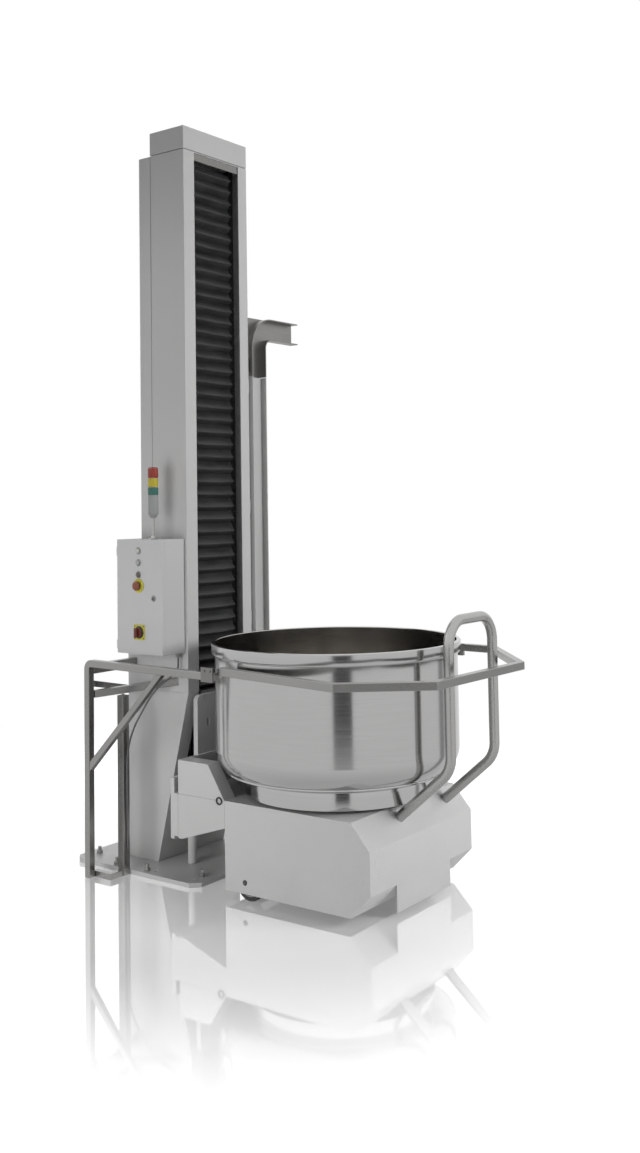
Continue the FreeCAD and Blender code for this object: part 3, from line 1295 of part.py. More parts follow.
def check_and_write():
    doc.recompute()
    bad = [f"{o.Name}: {o.State}" for o in doc.Objects if "Invalid" in o.State or "Error" in o.State]
    for item in nodes:
        shape = item.Shape
        if shape.isNull() or not shape.isValid() or not shape.Solids:
            bad.append(f"{item.Label}: shape")
    if bad:
        sys.exit("failed: " + ", ".join(bad))
    labels = [item.Label for item in nodes]
    if len(set(labels)) != len(labels) or len(labels) > 60:
        sys.exit(f"labels: {len(labels)}")
    for item in nodes:
        item.Shape.exportStep(f"parts/{item.Label}.step")
    print(len(labels), "parts")


floor_plate()
levelling_screws()
pedestal()
column()
cap()
rear_cover()
lintel()
rails()
gearmotor()
chain()
sprocket("sprocket_lower", d.sprocket_low_z)
sprocket("sprocket_upper", sprocket_high_z)
bellows()
guide()
guide_curve()
control_box()
box_door()
panel_controls()
stack_light()
guards()
mid_post()
gate_switch()
gate()
gate_hinge()
buffers()
carriage()
guide_shoes()
pivot()
tipping_frame()
trolley()
running_gear()
push_handle()
bowl()
switch_cable()
check_and_write()
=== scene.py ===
import json
import math
import bmesh
import bpy
from mathutils import Matrix, Vector, noise


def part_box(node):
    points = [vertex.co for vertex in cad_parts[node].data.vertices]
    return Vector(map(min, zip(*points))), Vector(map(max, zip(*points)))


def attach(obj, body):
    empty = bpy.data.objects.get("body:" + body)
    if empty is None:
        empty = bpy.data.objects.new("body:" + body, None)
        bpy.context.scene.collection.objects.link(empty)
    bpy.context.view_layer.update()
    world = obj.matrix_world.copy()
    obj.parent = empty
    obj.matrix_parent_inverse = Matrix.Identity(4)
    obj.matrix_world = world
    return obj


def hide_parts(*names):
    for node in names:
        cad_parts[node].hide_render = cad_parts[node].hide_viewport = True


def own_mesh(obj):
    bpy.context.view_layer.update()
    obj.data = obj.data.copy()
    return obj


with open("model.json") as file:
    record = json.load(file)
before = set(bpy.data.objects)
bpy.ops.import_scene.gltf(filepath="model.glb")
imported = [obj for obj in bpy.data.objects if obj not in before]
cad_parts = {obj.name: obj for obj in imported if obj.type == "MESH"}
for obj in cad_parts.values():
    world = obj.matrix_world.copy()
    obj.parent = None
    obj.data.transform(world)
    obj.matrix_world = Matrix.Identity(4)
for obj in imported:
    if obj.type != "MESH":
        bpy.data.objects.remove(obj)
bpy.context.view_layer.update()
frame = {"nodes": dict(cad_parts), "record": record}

scene = bpy.context.scene
bodyOf = {node: body for body, names in frame["record"]["behaviour"]["bodies"].items() for node in names}
slotOf = {entry["node"]: entry["material_slot"] for entry in frame["record"]["subparts"]}

# camera solved from the photograph: position in metres, angles in degrees
cameraValues = {
    "position": (-3.9814, -3.6759, 1.5354),
    "heading": 53.673, "rise": 3.285, "roll": -0.906,
    "focalPixels": 1194.37, "frame": (640, 1153), "horizonRow": 435.63, "sensor": 36.0,
}


def makeCamera(v):
    heading, rise, roll = (math.radians(v[k]) for k in ("heading", "rise", "roll"))
    ahead = Vector((math.sin(heading) * math.cos(rise), math.cos(heading) * math.cos(rise), math.sin(rise)))
    right = Vector((math.cos(heading), -math.sin(heading), 0))
    up = right.cross(ahead)
    across = right * math.cos(roll) + up * math.sin(roll)
    upright = up * math.cos(roll) - right * math.sin(roll)
    data = bpy.data.cameras.new("photoCamera")
    data.sensor_fit = "VERTICAL"
    data.sensor_height = v["sensor"]
    data.lens = v["focalPixels"] / v["frame"][1] * v["sensor"]
    data.shift_y = (v["horizonRow"] - v["frame"][1] / 2) / v["frame"][1]
    data.clip_end = 60
    camera = bpy.data.objects.new("photoCamera", data)
    turn = Matrix((across, upright, -ahead)).transposed().to_4x4()
    camera.matrix_world = Matrix.Translation(v["position"]) @ turn
    scene.collection.objects.link(camera)
    scene.camera = camera


makeCamera(cameraValues)
print("camera placed")


# shader helpers

def newTree(name):
    material = bpy.data.materials.new(name)
    material.use_nodes = True
    tree = material.node_tree
    return material, tree, tree.nodes["Principled BSDF"]


def fill(tree, node, inputs):
    for key, value in inputs.items():
        if isinstance(value, bpy.types.NodeSocket):
            tree.links.new(value, node.inputs[key])
        else:
            node.inputs[key].default_value = value
    return node


def addNode(tree, kind, inputs=None, **settings):
    node = tree.nodes.new(kind)
    for key, value in settings.items():
        setattr(node, key, value)
    return fill(tree, node, inputs or {})


def place(tree, group, inputs):
    node = tree.nodes.new("ShaderNodeGroup")
    node.node_tree = group
    return fill(tree, node, inputs).outputs[0]


def makeGroup(name, inputs, outputs):
    group = bpy.data.node_groups.new(name, "ShaderNodeTree")
    for label, kind, value in inputs:
        socket = group.interface.new_socket(name=label, in_out="INPUT", socket_type=kind)
        if value is not None:
            socket.default_value = value
    for label, kind in outputs:
        group.interface.new_socket(name=label, in_out="OUTPUT", socket_type=kind)
    return group, group.nodes.new("NodeGroupInput").outputs, group.nodes.new("NodeGroupOutput").inputs


def grainGroup():
    # noise stretched by Along, for brushing, peel and blotches
    group, given, result = makeGroup(
        "grain",
        [("Vector", "NodeSocketVector", None), ("Along", "NodeSocketVector", (1, 1, 1)),
         ("Scale", "NodeSocketFloat", 40.0), ("Detail", "NodeSocketFloat", 3.0),
         ("Low", "NodeSocketFloat", 0.3), ("High", "NodeSocketFloat", 0.7)],
        [("Mask", "NodeSocketFloat")])
    stretched = addNode(group, "ShaderNodeVectorMath", {0: given["Vector"], 1: given["Along"]},
                        operation="MULTIPLY")
    cloud = addNode(group, "ShaderNodeTexNoise",
                    {"Vector": stretched.outputs[0], "Scale": given["Scale"], "Detail": given["Detail"]})
    spread = addNode(group, "ShaderNodeMapRange",
                     {"Value": cloud.outputs[0], "From Min": given["Low"], "From Max": given["High"]})
    group.links.new(spread.outputs[0], result["Mask"])
    return group


def tintGroup():
    # one colour drifting towards another by a mask
    group, given, result = makeGroup(
        "tint",
        [("Plain", "NodeSocketColor", None), ("Marked", "NodeSocketColor", None),
         ("Mask", "NodeSocketFloat", 0.0), ("Amount", "NodeSocketFloat", 0.5)],
        [("Color", "NodeSocketColor")])
    share = addNode(group, "ShaderNodeMath", {0: given["Mask"], 1: given["Amount"]}, operation="MULTIPLY")
    mix = addNode(group, "ShaderNodeMix", {"Factor": share.outputs[0], 6: given["Plain"], 7: given["Marked"]},
                  data_type="RGBA")
    group.links.new(mix.outputs[2], result["Color"])
    return group


def weaveGroup():
    # crossed threads for coated cloth
    group, given, result = makeGroup(
        "weave", [("Vector", "NodeSocketVector", None), ("Scale", "NodeSocketFloat", 300.0)],
        [("Height", "NodeSocketFloat")])
    across = addNode(group, "ShaderNodeTexWave", {"Vector": given["Vector"], "Scale": given["Scale"]},
                     bands_direction="X")
    along = addNode(group, "ShaderNodeTexWave", {"Vector": given["Vector"], "Scale": given["Scale"]},
                    bands_direction="Z")
    height = addNode(group, "ShaderNodeMath", {0: across.outputs["Fac"], 1: along.outputs["Fac"]},
                     operation="MULTIPLY")
    group.links.new(height.outputs[0], result["Height"])
    return group


def wearGroup():
    # grime that gathers towards the floor and in slow patches
    group, given, result = makeGroup(
        "wear",
        [("Vector", "NodeSocketVector", None), ("Top", "NodeSocketFloat", 0.35),
         ("Patch", "NodeSocketFloat", 5.0)],
        [("Mask", "NodeSocketFloat")])
    height = addNode(group, "ShaderNodeSeparateXYZ", {0: given["Vector"]}).outputs["Z"]
    low = addNode(group, "ShaderNodeMapRange",
                  {"Value": height, "From Min": 0.0, "From Max": given["Top"], "To Min": 1.0, "To Max": 0.0})
    cloud = addNode(group, "ShaderNodeTexNoise",
                    {"Vector": given["Vector"], "Scale": given["Patch"], "Detail": 6.0, "Roughness": 0.65})
    patchy = addNode(group, "ShaderNodeMapRange",
                     {"Value": cloud.outputs[0], "From Min": 0.42, "From Max": 0.72})
    both = addNode(group, "ShaderNodeMath", {0: low.outputs[0], 1: patchy.outputs[0]}, operation="MULTIPLY")
    group.links.new(both.outputs[0], result["Mask"])
    return group


grain, tint, weave, wear = grainGroup(), tintGroup(), weaveGroup(), wearGroup()


def rgba(colour):
    return (*colour, 1.0)


def ranged(tree, mask, low, high):
    return addNode(tree, "ShaderNodeMapRange", {"Value": mask, "To Min": low, "To Max": high}).outputs[0]


def surface(name, colour, marked, roughness, metallic=0.0, along=(1, 1, 1), scale=60.0, detail=3.0, amount=0.5,
            spread=0.08, bump=0.1, bumpDistance=0.0004, blotch=3.0, blotchAmount=0.25, grime=None, dirtAmount=0.2,
            transmission=0.0, coat=0.0):
    # a finish: fine grain in colour, roughness and relief, over slow blotches and low grime
    material, tree, shader = newTree(name)
    spot = addNode(tree, "ShaderNodeTexCoord").outputs["Object"]
    fine = place(tree, grain, {"Vector": spot, "Along": along, "Scale": scale, "Detail": detail})
    slow = place(tree, grain, {"Vector": spot, "Scale": blotch, "Detail": 4.0})
    tone = place(tree, tint, {"Plain": rgba(colour), "Marked": rgba(marked), "Mask": fine, "Amount": amount})
    tone = place(tree, tint, {"Plain": tone, "Marked": rgba(marked), "Mask": slow, "Amount": blotchAmount})
    if grime:
        dirt = place(tree, wear, {"Vector": spot})
        tone = place(tree, tint, {"Plain": tone, "Marked": rgba(grime), "Mask": dirt,
                                  "Amount": dirtAmount})
    tree.links.new(tone, shader.inputs["Base Color"])
    rough = addNode(tree, "ShaderNodeMath", {0: ranged(tree, fine, -spread, spread),
                                             1: ranged(tree, slow, roughness - spread, roughness + spread)})
    tree.links.new(rough.outputs[0], shader.inputs["Roughness"])
    relief = addNode(tree, "ShaderNodeBump", {"Strength": bump, "Distance": bumpDistance, "Height": fine})
    tree.links.new(relief.outputs[0], shader.inputs["Normal"])
    shader.inputs["Metallic"].default_value = metallic
    shader.inputs["Transmission Weight"].default_value = transmission
    shader.inputs["Coat Weight"].default_value = coat
    return material


finishes = {
    "column_paint": surface("columnPaint", (0.47, 0.47, 0.465), (0.42, 0.42, 0.415), 0.34, scale=420, bump=0.12,
                            bumpDistance=0.0003, amount=0.15, spread=0.05, blotch=1.2, blotchAmount=0.4,
                            grime=(0.22, 0.21, 0.19)),
    "guide_paint": surface("guidePaint", (0.44, 0.44, 0.435), (0.37, 0.37, 0.365), 0.42, scale=420, bump=0.12,
                           amount=0.15, blotch=2.0, blotchAmount=0.4),
    "cover_steel": surface("coverSteel", (0.25, 0.247, 0.24), (0.16, 0.157, 0.15), 0.24, 1.0, (60, 60, 1), 9,
                           5.0, 0.45, 0.07, 0.08),
    "curve_steel": surface("curveSteel", (0.3, 0.297, 0.29), (0.21, 0.208, 0.2), 0.4, 1.0, (1, 60, 60), 9,
                           5.0, 0.4, 0.06, 0.06),
    "frame_steel": surface("frameSteel", (0.3, 0.3, 0.295), (0.18, 0.18, 0.175), 0.42, 1.0, (60, 60, 2), 8,
                           5.0, 0.45, 0.08, 0.1),
    "fence_steel": surface("fenceSteel", (0.35, 0.348, 0.34), (0.26, 0.258, 0.25), 0.27, 1.0, (1, 1, 1), 900,
                           3.0, 0.15, 0.03, 0.02, blotch=3.0, blotchAmount=0.35),
    "bowl_steel": surface("bowlSteel", (0.515, 0.515, 0.51), (0.43, 0.43, 0.425), 0.13, 1.0, (1, 1, 90), 7, 6.0,
                          0.35, 0.03, 0.02, blotchAmount=0.15),
    # bowl_inside: the same steel as bowl_steel painted lighter, as painted light for the bowl's inside
    "bowl_inside": surface("bowlInsidePaintedLight", (0.66, 0.645, 0.62), (0.55, 0.535, 0.51), 0.13, 1.0, (1, 1, 120), 6,
                           6.0, 0.5, 0.03, 0.02),
    "handle_steel": surface("handleSteel", (0.47, 0.468, 0.46), (0.36, 0.358, 0.35), 0.28, 1.0, (80, 80, 4), 9,
                            5.0, 0.3, 0.04, 0.03),
    "zinc": surface("zincPlate", (0.42, 0.42, 0.41), (0.26, 0.26, 0.25), 0.36, 1.0, scale=90, amount=0.5),
    "machined": surface("oiledSteel", (0.14, 0.14, 0.14), (0.06, 0.06, 0.06), 0.32, 0.9, scale=60, amount=0.5),
    "trolley_paint": surface("trolleyPaint", (0.48, 0.48, 0.477), (0.44, 0.44, 0.437), 0.34, scale=380, bump=0.1,
                             amount=0.12, spread=0.05, blotch=1.5, blotchAmount=0.3, grime=(0.3, 0.29, 0.27)),
    "box_paint": surface("boxPaint", (0.47, 0.47, 0.475), (0.42, 0.42, 0.425), 0.4, scale=500, bump=0.15,
                         amount=0.2, blotch=3.0, blotchAmount=0.3),
    "black_plastic": surface("blackPlastic", (0.02, 0.02, 0.021), (0.05, 0.05, 0.05), 0.42, scale=700, bump=0.2,
                             amount=0.4),
    "grey_plastic": surface("greyPlastic", (0.3, 0.31, 0.3), (0.22, 0.23, 0.22), 0.4, scale=700, bump=0.15,
                            transmission=0.2),
    "button_white_p": surface("whiteCap", (0.46, 0.46, 0.43), (0.36, 0.36, 0.34), 0.22, scale=300, amount=0.2,
                              coat=0.4),
    "button_clear_p": surface("clearCap", (0.3, 0.32, 0.31), (0.2, 0.22, 0.22), 0.14, scale=300, amount=0.2,
                              coat=0.6),
    "button_red_p": surface("tintedCap", (0.1, 0.075, 0.07), (0.06, 0.045, 0.042), 0.2, scale=300, amount=0.3,
                            coat=0.5),
    "stop_red": surface("signalRed", (0.2, 0.055, 0.028), (0.12, 0.03, 0.015), 0.35, scale=400, amount=0.3,
                        coat=0.1),
    "switch_red": surface("darkRed", (0.13, 0.022, 0.015), (0.07, 0.012, 0.01), 0.3, scale=400, amount=0.4,
                          coat=0.3),
    "lamp_red_p": surface("redLens", (0.3, 0.03, 0.01), (0.16, 0.012, 0.006), 0.16, along=(1, 1, 0.1),
                          scale=300, transmission=0.12),
    "lamp_amber_p": surface("amberLens", (0.5, 0.42, 0.015), (0.34, 0.26, 0.01), 0.16, along=(1, 1, 0.1),
                            scale=300, transmission=0.12),
    "lamp_green_p": surface("greenLens", (0.03, 0.15, 0.12), (0.015, 0.08, 0.065), 0.16, along=(1, 1, 0.1),
                            scale=300, transmission=0.12),
    "wheel_rubber": surface("tyreRubber", (0.02, 0.02, 0.02), (0.05, 0.05, 0.048), 0.7, scale=160, amount=0.5,
                            bump=0.3),
    "cable_black": surface("cableSheath", (0.09, 0.09, 0.09), (0.14, 0.14, 0.14), 0.5, scale=300, bump=0.2),
    "signal_yellow": surface("signalYellow", (0.48, 0.44, 0.035), (0.36, 0.32, 0.025), 0.36, scale=400,
                             amount=0.3),
}


def bellowsFinish():
    material, tree, shader = newTree("foldedCloth")
    spot = addNode(tree, "ShaderNodeTexCoord").outputs["Object"]
    threads = place(tree, weave, {"Vector": spot, "Scale": 260.0})
    dust = place(tree, grain, {"Vector": spot, "Along": (3, 1, 8), "Scale": 4.0, "Detail": 5.0})
    tone = place(tree, tint, {"Plain": rgba((0.021, 0.022, 0.022)), "Marked": rgba((0.05, 0.05, 0.05)),
                              "Mask": dust, "Amount": 0.45})
    tree.links.new(tone, shader.inputs["Base Color"])
    tree.links.new(ranged(tree, dust, 0.42, 0.62), shader.inputs["Roughness"])
    relief = addNode(tree, "ShaderNodeBump", {"Strength": 0.25, "Distance": 0.0003, "Height": threads})
    tree.links.new(relief.outputs[0], shader.inputs["Normal"])
    return material


finishes["bellows_cloth"] = bellowsFinish()
print("finishes made:", len(finishes))


# mesh helpers: each returns a bmesh in the part's own frame

def lathe(outline, centre, axis=(0, 0, 1), steps=96, ease=0.0, segments=2):
    # turns an outline of (radius, height) points about an axis; one that keeps off the axis is joined up
    mesh = bmesh.new()
    ring = [mesh.verts.new((radius, 0, height)) for radius, height in outline]
    pairs = list(zip(ring, ring[1:]))
    if outline[0][0] > 0:
        pairs.append((ring[-1], ring[0]))
    edges = [mesh.edges.new(pair) for pair in pairs]
    bmesh.ops.spin(mesh, geom=ring + edges, cent=(0, 0, 0), axis=(0, 0, 1), dvec=(0, 0, 0),
                   angle=2 * math.pi, steps=steps, use_merge=True, use_duplicate=False)
    bmesh.ops.remove_doubles(mesh, verts=mesh.verts, dist=1e-6)
    bmesh.ops.recalc_face_normals(mesh, faces=mesh.faces)
    if ease:
        easeEdges(mesh, ease, segments)
    turn = Vector((0, 0, 1)).rotation_difference(Vector(axis)).to_matrix().to_4x4()
    mesh.transform(Matrix.Translation(centre) @ turn)
    return mesh


def easeEdges(mesh, width, segments=2, degrees=35):
    sharp = [edge for edge in mesh.edges
             if len(edge.link_faces) == 2 and edge.calc_face_angle(0) > math.radians(degrees)]
    bmesh.ops.bevel(mesh, geom=sharp, offset=width, offset_type="OFFSET", segments=segments, profile=0.5,
                    affect="EDGES", clamp_overlap=True, material=-1)


def block(low, high, ease=0.0, segments=2):
    mesh = bmesh.new()
    bmesh.ops.create_cube(mesh, size=1)
    middle = (Vector(low) + Vector(high)) / 2
    span = Vector(high) - Vector(low)
    mesh.transform(Matrix.Translation(middle) @ Matrix.Diagonal((*span, 1)))
    if ease:
        easeEdges(mesh, ease, segments)
    return mesh


def gathered(parts):
    whole = parts[0]
    for part in parts[1:]:
        data = bpy.data.meshes.new("passing")
        part.to_mesh(data)
        part.free()
        whole.from_mesh(data)
        bpy.data.meshes.remove(data)
    return whole


def arcPoints(centre, radius, start, end, count):
    angles = [math.radians(start + (end - start) * i / count) for i in range(count + 1)]
    return [(centre[0] + radius * math.cos(a), centre[1] + radius * math.sin(a)) for a in angles]


def storePiece(name, mesh, body, finish, smoothAngle=35):
    data = bpy.data.meshes.new(name)
    mesh.to_mesh(data)
    mesh.free()
    data.materials.append(finishes[finish])
    data.shade_smooth()
    data.set_sharp_from_angle(angle=math.radians(smoothAngle))
    piece = bpy.data.objects.new(name, data)
    scene.collection.objects.link(piece)
    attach(piece, body)
    return piece


def meshPiece(name, mesh, body, finish, smoothAngle=35):
    bmesh.ops.recalc_face_normals(mesh, faces=mesh.faces)
    return storePiece(name, mesh, body, finish, smoothAngle)


def evened(piece):
    # wide faces keep their own shading beside narrow eased edges
    weigh = piece.modifiers.new("evenNormals", "WEIGHTED_NORMAL")
    weigh.keep_sharp = True
    weigh.weight = 100
    return piece


def dressed(node, bevel=0.0, segments=2, finish=None):
    # the CAD node with its edges eased, as a piece in its own place
    mesh = bmesh.new()
    mesh.from_mesh(frame["nodes"][node].data)
    bmesh.ops.remove_doubles(mesh, verts=mesh.verts, dist=1e-6)
    bmesh.ops.dissolve_limit(mesh, angle_limit=math.radians(0.5), verts=mesh.verts, edges=mesh.edges)
    slot = slotOf[node]
    piece = storePiece(node + "_finished", mesh, bodyOf[node], finish or slot, smoothAngle=30)
    if bevel:
        easing = piece.modifiers.new("easedEdges", "BEVEL")
        easing.width = bevel
        easing.segments = segments
        easing.limit_method = "ANGLE"
        easing.angle_limit = math.radians(40)
        evened(piece)
    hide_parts(node)


# bellows: folds that lie like slats, each with a long upper and a short lower slope
bellowsValues = {
    "folds": 42, "steps": 36, "depth": 0.037, "sheet": 0.0015, "sag": 0.0022, "wander": 0.0026,
    "hem": 0.075,
    "rows": ((0.0, 1.0), (0.17, 0.5), (0.32, 0.06), (0.37, 0.0), (0.43, 0.07), (0.72, 0.55)),
}


def foldPlace(v, row):
    fold, step = divmod(row, len(v["rows"]))
    rise, back = v["rows"][step]
    return fold + rise, back


def makeBellows(v):
    low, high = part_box("bellows")
    pitch = (high.z - low.z) / v["folds"]
    rows = v["folds"] * len(v["rows"])
    mesh = bmesh.new()
    bmesh.ops.create_grid(mesh, x_segments=v["steps"], y_segments=rows, size=1.0)
    for vert in mesh.verts:
        across = (vert.co.x + 1) / 2
        rise, back = foldPlace(v, round((vert.co.y + 1) / 2 * rows))
        x = low.x + 0.001 + across * (high.x - low.x - 0.002)
        closed = max(0.0, 1 - min(across, 1 - across) / v["hem"])
        back = max(back, closed ** 0.6)
        droop = noise.noise(Vector((x * 9, 0.0, rise * 1.7))) * v["wander"]
        hang = v["sag"] * math.sin(across * math.pi)
        inner = min(1.0, rise, v["folds"] - rise)
        y = low.y + 0.001 + v["depth"] * back + abs(droop) * 0.6
        z = low.z + rise * pitch + inner * (droop - hang * (1 - back))
        vert.co = Vector((x, y, min(max(z, low.z), high.z)))
    bmesh.ops.recalc_face_normals(mesh, faces=mesh.faces)
    # the cut is this folded surface laid flat
    wide = high.x - low.x
    flatLength = sum(face.calc_area() for face in mesh.faces) / wide
    bmesh.ops.solidify(mesh, geom=mesh.faces, thickness=v["sheet"])
    piece = meshPiece("foldedCurtain", mesh, "stand", "bellows_cloth", smoothAngle=24)
    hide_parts("bellows")
    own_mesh(piece)


makeBellows(bellowsValues)
print("bellows made")

# bowl: one turned skin with a rim band, bottom bead and footing ring
bowlValues = {
    "centre": (0, -0.811), "radius": 0.493, "corner": 0.108, "low": 0.46, "high": 0.986, "wall": 0.004,
    "band": 0.506, "bandLow": 0.941, "steps": 160,
    "foot": 0.374, "footLow": 0.388, "footWall": 0.006, "footFlange": 0.281,
    "bead": 0.450, "beadHigh": 0.4816, "beadWire": 0.005,
}


def wireRing(centre, radius, wire, steps=128, sides=12):
    points = arcPoints((radius, 0), wire, 0, 360 - 360 / sides, sides - 1)
    return lathe(points, centre, steps=steps)


def makeBowl(v):
    x, y = v["centre"]
    inner = v["corner"] - v["wall"]
    bend = v["low"] + v["corner"]
    flat = v["radius"] - v["corner"]
    outside = [(0, v["low"])] + arcPoints((flat, bend), v["corner"], -90, 0, 14)
    lip = [(v["radius"], v["bandLow"] - 0.004), (v["radius"] + 0.005, v["bandLow"] - 0.003),
           (v["band"] - 0.004, v["bandLow"]), (v["band"], v["bandLow"] + 0.006),
           (v["band"], v["high"] - 0.003), (v["band"] - 0.003, v["high"]),
           (v["radius"] - v["wall"] + 0.001, v["high"]), (v["radius"] - v["wall"], v["high"] - 0.003)]
    hollow = arcPoints((flat, bend), inner, 0, -90, 14) + [(0, v["low"] + v["wall"])]
    shell = lathe(outside + lip + hollow, (x, y, 0), steps=v["steps"])
    piece = evened(meshPiece("bowlShell", shell, "bowl_set", "bowl_steel", smoothAngle=50))
    piece.data.materials.append(finishes["bowl_inside"])
    # faces that look towards the bowl's middle take the inside's finish: the bowl steel painted lighter, as
    # painted light that brightens the bowl's inside
    for face in piece.data.polygons:
        out = face.center - Vector((x, y, bend))
        face.material_index = int(face.normal.dot(out) < 0 and out.xy.length < v["radius"] - 0.001)
    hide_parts("bowl")
    beads = wireRing((x, y, v["beadHigh"]), v["bead"], v["beadWire"])
    meshPiece("bowlBead", beads, "bowl_set", "bowl_steel")
    foot, low, wall = v["foot"], v["footLow"], v["footWall"]
    ring = lathe([(v["footFlange"], low), (foot, low), (foot, low + 0.052), (foot - 0.002, low + 0.056),
                  (foot - 0.002, v["low"] - 0.001), (foot - wall, v["low"] - 0.001),
                  (foot - wall, low + wall), (v["footFlange"], low + wall)],
                 (x, y, 0), steps=v["steps"], ease=0.0012)
    piece = evened(meshPiece("bowlFooting", ring, "bowl_set", "bowl_steel"))
    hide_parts("bowl_skirt")


makeBowl(bowlValues)
print("bowl made")

# stack light: fluted lenses on a pale tube, a thin pole and a foot
lampValues = {
    "centre": (-0.312, -0.093), "radius": 0.0222, "flutes": 16, "flute": 0.0013, "core": 0.009,
    "lenses": (("green", 1.584, 1.618), ("amber", 1.618, 1.657), ("red", 1.657, 1.700)),
    "poleRadius": 0.0065, "footLow": 1.398, "baseLow": 1.488, "baseHigh": 1.5835,
    "coreHigh": 1.698, "seams": (1.5845, 1.618, 1.657), "lidLow": 1.7005, "lidHigh": 1.703,
}


def flutedLens(v, low, high):
    x, y = v["centre"]
    r = v["radius"]
    neck = r - 0.0016
    mesh = lathe([(r - 0.0045, low + 0.0015), (neck, low + 0.0015), (neck, low + 0.003), (r, low + 0.0045),
                  (r, high - 0.004), (neck, high - 0.0025), (neck, high - 0.001), (r - 0.0045, high - 0.001)],
                 (x, y, 0), steps=v["flutes"] * 8)
    for vert in mesh.verts:
        offset = Vector((vert.co.x - x, vert.co.y - y, 0))
        if offset.length > r - 0.0008:
            wave = math.cos(math.atan2(offset.y, offset.x) * v["flutes"])
            vert.co -= offset.normalized() * v["flute"] * (0.5 - 0.5 * wave)
    return mesh


def makeLamps(v):
    x, y = v["centre"]
    r = v["radius"]
    for colour, low, high in v["lenses"]:
        piece = meshPiece(colour + "Lens", flutedLens(v, low, high), "stand", "lamp_" + colour + "_p")
        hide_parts("lamp_" + colour)
    core = lathe([(0, v["baseHigh"]), (v["core"], v["baseHigh"]), (v["core"], v["coreHigh"]),
                  (0, v["coreHigh"])], (x, y, 0), steps=40, ease=0.0005)
    meshPiece("lampCore", core, "stand", "button_white_p")
    seams = [lathe([(0.004, z - 0.001), (r - 0.0002, z - 0.001), (r - 0.0002, z + 0.001), (0.004, z + 0.001)],
                   (x, y, 0), steps=64) for z in v["seams"]]
    lid = lathe([(0, v["lidLow"]), (r - 0.0012, v["lidLow"]), (r - 0.004, v["lidHigh"]), (0, v["lidHigh"])],
                (x, y, 0), steps=64)
    meshPiece("lampSeams", gathered(seams), "stand", "grey_plastic")
    meshPiece("lampLid", lid, "stand", "lamp_red_p")
    low, high, foot, thin = v["baseLow"], v["baseHigh"], v["footLow"], v["poleRadius"]
    base = lathe([(0, low), (0.012, low), (0.0145, low + 0.004), (r - 0.003, low + 0.012), (r, low + 0.016),
                  (r, high - 0.002), (r - 0.001, high), (0, high)], (x, y, 0), steps=64, ease=0.0006)
    groove = lathe([(r - 0.001, low + 0.02), (r + 0.0003, low + 0.0205), (r + 0.0003, low + 0.0225),
                    (r - 0.001, low + 0.023)], (x, y, 0), steps=64)
    piece = meshPiece("stackBase", gathered([base, groove]), "stand", "grey_plastic")
    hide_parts("stack_pole")
    pole = lathe([(0, foot + 0.004), (thin, foot + 0.004), (thin, low + 0.002), (0, low + 0.002)], (x, y, 0),
                 steps=32)
    collar = lathe([(0, foot + 0.0002), (0.02, foot + 0.0002), (0.02, foot + 0.004), (0.017, foot + 0.006),
                    (0.0105, foot + 0.0065), (0.0085, foot + 0.014), (0, foot + 0.014)], (x, y, 0), steps=48,
                   ease=0.0006)
    meshPiece("stackPole", gathered([pole, collar]), "stand", "handle_steel")


makeLamps(lampValues)
print("stack light made")

# panel: rings, caps, stop button, lock and main switch on the door
panelValues = {
    "face": -0.351, "row": -0.042, "heights": (1.350, 1.300, 1.250), "ring": 0.015, "cap": 0.011,
    "ringOut": 0.004, "capOut": 0.0082,
    "stopRow": -0.043, "stopHeight": 1.203, "disc": 0.030, "discOut": 0.006, "head": 0.020,
    "lockRow": -0.129, "lockHeight": 1.152,
    "switchRow": -0.046, "switchHeight": 1.008, "plate": 0.064, "plateOut": 0.003, "knob": 0.0205,
    "hub": 0.0265,
}


def faced(outline, row, height, steps=48, ease=0.0005):
    # turned about an axis that points out of the door
    return lathe(outline, (panelValues["face"], row, height), axis=(-1, 0, 0), steps=steps, ease=ease)


def makeButtons(v):
    rings = []
    for z in v["heights"]:
        rings.append(faced([(0.0115, 0.0002), (v["ring"], 0.0002), (v["ring"], 0.0018), (0.0135, v["ringOut"]),
                            (0.0119, v["ringOut"]), (0.0115, 0.003)], v["row"], z))
    rings.append(faced([(0.0104, 0.0002), (0.013, 0.0002), (0.0128, 0.0016), (0.0114, 0.003), (0.0104, 0.0028)],
                       v["lockRow"], v["lockHeight"]))
    piece = meshPiece("buttonRings", gathered(rings), "door", "zinc")
    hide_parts("panel_bezels")
    for name, z in zip(("white", "clear", "red"), v["heights"]):
        cap = faced([(0, -0.0005), (v["cap"] - 0.0002, -0.0005), (v["cap"] - 0.0002, v["capOut"] - 0.0022),
                     (v["cap"] - 0.002, v["capOut"] - 0.0006), (0.005, v["capOut"]), (0, v["capOut"] + 0.0001)],
                    v["row"], z)
        cap = meshPiece(name + "Cap", cap, name + "_button", "button_" + name + "_p")
        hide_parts("button_" + name)


